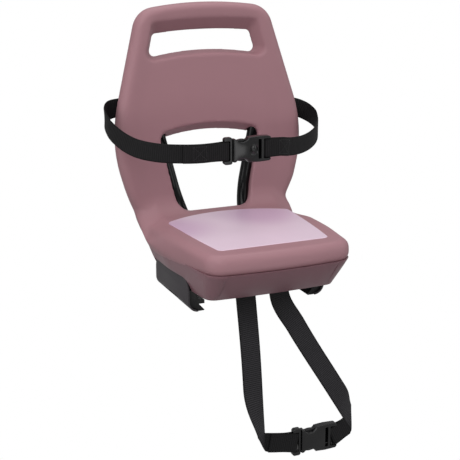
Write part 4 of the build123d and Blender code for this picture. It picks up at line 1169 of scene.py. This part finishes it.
class SEAT_OT_buckles(bpy.types.Operator):
    """Side-release buckles: plug, release arms and socket, and the webbing's free end behind the ladder"""
    bl_idname = "child_seat.buckles"
    bl_label = "Buckles"

    def execute(self, context):
        self.buckle("waist", look().waist_squash, look().belt_width, belt_yarn_painted_shade())
        self.buckle("safety", 1.0, look().strap_width, strap_yarn_painted_light())
        return {"FINISHED"}

    def buckle(self, belt, squash, breadth, yarn):
        """One buckle, its height squashed about the middle of its socket's mouth."""
        plug_node, socket_node, rider = f"{belt}_buckle_plug", f"{belt}_buckle_socket", f"{belt}_plug"
        low, high = node_box(socket_node)
        mouth = np.array([low[0], *(low + high)[1:] / 2])
        upright = np.array([1.0, 1.0, squash])
        plug = moulded_copy(plug_node, f"{belt}_plug")
        set_mesh_points(plug.data, mouth + upright * (mesh_points(plug.data) - mouth))
        place(plug, buckle_plastic(), [plug_node], rider)
        for side, name in ((1, "upper"), (-1, "lower")):
            arm = surface(f"{belt}_arm_{name}", mouth + upright * arm_points(side))
            place(arm, buckle_plastic(), body=rider)
        socket = moulded_copy(socket_node, f"{belt}_socket")
        crowned = crowned_socket(mesh_points(socket.data) - mouth, belt == "waist")
        set_mesh_points(socket.data, mouth + upright * crowned)
        place(socket, buckle_plastic(), [socket_node])
        line = mouth + smooth_line(np.array(FREE_END) * MM, 0.8 * MM)
        up = np.tile([0.0, 0.0, 1.0], (len(line), 1))
        end = webbing_along(f"{belt}_free_end", line, up, breadth + FREE_END_EXTRA)
        place(end, yarn)


class SEAT_OT_fixings(bpy.types.Operator):
    """Belt guides, screws, washers, clips and the strap's rod"""
    bl_idname = "child_seat.fixings"
    bl_label = "Fixings"

    def execute(self, context):
        for side in ("left", "right"):
            node = f"belt_guide_{side}"
            guide = eased_copy(node, f"guide_{side}", width=0.4 * MM)
            place(guide, jaw_plastic(), [node])
        screws = ("base_screws", "clip_screws", "clamp_screws", "guide_screws")
        for node in (*screws, "clamp_washers", "frame_clips", "strap_rod"):
            dress_node(node, zinc_steel())
        return {"FINISHED"}


def floor_points(height):
    """A flat floor that rises into a backdrop: z = h + R (1 - cos t) and y = d + R sin t past its rear
    edge."""
    turn = np.linspace(0, np.pi / 2, 24)
    rear = BACKDROP_Y + BACKDROP_R
    y = np.concatenate([[FLOOR_FRONT_Y, 2.0], BACKDROP_Y + BACKDROP_R * np.sin(turn), [rear]])
    z = np.concatenate([[0, 0], BACKDROP_R * (1 - np.cos(turn)), [2 * BACKDROP_R]]) + height
    x = np.array([-FLOOR_HALF, FLOOR_HALF])
    return np.stack(np.broadcast_arrays(x[None, :], y[:, None], z[:, None]), axis=-1)


def pale_floor():
    """Floor that shows white to the camera and pale in gloss, so that only the object's shadow stands
    out."""
    material = bpy.data.materials.new("pale floor")
    material.use_nodes = True
    tree = material.node_tree
    shader = tree.nodes["Principled BSDF"]
    shader.inputs["Base Color"].default_value = (0.25, 0.25, 0.25, 1)
    shader.inputs["Roughness"].default_value = 0.9
    glow = add(tree, "ShaderNodeEmission", Strength=1.0)
    path = add(tree, "ShaderNodeLightPath")
    gleam = maths(tree, "MULTIPLY", path.outputs["Is Glossy Ray"], 0.3)
    mix = add(tree, "ShaderNodeMixShader")
    feed(tree, maths(tree, "MAXIMUM", path.outputs["Is Camera Ray"], gleam), mix.inputs["Fac"])
    feed(tree, shader.outputs["BSDF"], mix.inputs[1])
    feed(tree, glow.outputs["Emission"], mix.inputs[2])
    feed(tree, mix.outputs["Shader"], tree.nodes["Material Output"].inputs["Surface"])
    return material


def pale_world(scene):
    """An even, quiet sky for the object, and white where the camera sees it."""
    scene.world = bpy.data.worlds.new("studio")
    scene.world.use_nodes = True
    tree = scene.world.node_tree
    tree.nodes.clear()
    light = add(tree, "ShaderNodeBackground", Color=(1, 1, 1, 1), Strength=0.42)
    white = add(tree, "ShaderNodeBackground", Color=(1, 1, 1, 1), Strength=1.0)
    path = add(tree, "ShaderNodeLightPath")
    mix = add(tree, "ShaderNodeMixShader")
    out = add(tree, "ShaderNodeOutputWorld")
    feed(tree, path.outputs["Is Camera Ray"], mix.inputs["Fac"])
    feed(tree, light.outputs["Background"], mix.inputs[1])
    feed(tree, white.outputs["Background"], mix.inputs[2])
    feed(tree, mix.outputs["Shader"], out.inputs["Surface"])


def soft_lamp(name, spot, target, size, power):
    """A square soft box that faces the target."""
    data = bpy.data.lights.new(name, "AREA")
    data.size = size
    data.energy = power
    lamp = new_object(name, data)
    way = target - spot
    lamp.location = spot
    lamp.rotation_euler = (math.acos(-way[2] / np.linalg.norm(way)), 0, math.atan2(-way[0], way[1]))


class SEAT_OT_stage(bpy.types.Operator):
    """Pale floor and backdrop, soft lamps and the camera"""
    bl_idname = "child_seat.stage"
    bl_label = "Stage"

    def execute(self, context):
        stage = context.scene.seat_stage
        context.scene.view_settings.view_transform = "Standard"
        floor = surface("floor", floor_points(stage.floor_height), wrap=False, capped=False)
        floor.data.materials.append(pale_floor())
        pale_world(context.scene)
        target = np.array(stage.camera_target)
        for name, (spot, size, share) in LAMPS.items():
            soft_lamp(name, target + spot, target, size, share * stage.key_power)
        camera = new_object("camera", bpy.data.cameras.new("camera"))
        camera.data.sensor_width = 36
        camera.data.lens = 90
        azimuth, elevation = stage.camera_azimuth, stage.camera_elevation
        flat = math.cos(elevation)
        away = np.array([math.sin(azimuth) * flat, -math.cos(azimuth) * flat, math.sin(elevation)])
        camera.location = target + stage.camera_distance * away
        camera.rotation_euler = (math.pi / 2 - elevation, 0, azimuth)
        context.scene.camera = camera
        return {"FINISHED"}


PIECES = (
    "shell", "pad", "base", "back_frame", "clamps", "waist_belt", "safety_strap", "buckles", "fixings",
    "stage",
)


class SEAT_PT_panel(bpy.types.Panel):
    """Sizes, colours and pieces of the seat"""
    bl_idname = "SEAT_PT_panel"
    bl_label = "Child Seat"
    bl_space_type = "VIEW_3D"
    bl_region_type = "UI"
    bl_category = "Child Seat"

    def draw(self, context):
        for group in (context.scene.seat_look, context.scene.seat_stage):
            for name in group.__annotations__:
                self.layout.prop(group, name)
        for piece in PIECES:
            self.layout.operator(f"child_seat.{piece}")


CLASSES = (
    SeatLook, SeatStage, SEAT_OT_shell, SEAT_OT_pad, SEAT_OT_base, SEAT_OT_back_frame, SEAT_OT_clamps,
    SEAT_OT_waist_belt, SEAT_OT_safety_strap, SEAT_OT_buckles, SEAT_OT_fixings, SEAT_OT_stage, SEAT_PT_panel,
)


def register():
    for cls in CLASSES:
        bpy.utils.register_class(cls)
    bpy.types.Scene.seat_look = bpy.props.PointerProperty(type=SeatLook)
    bpy.types.Scene.seat_stage = bpy.props.PointerProperty(type=SeatStage)


def unregister():
    del bpy.types.Scene.seat_stage
    del bpy.types.Scene.seat_look
    for cls in reversed(CLASSES):
        bpy.utils.unregister_class(cls)


def main():
    register()
    for piece in PIECES:
        getattr(bpy.ops.child_seat, piece)()


if __name__ == "__main__":
    main()
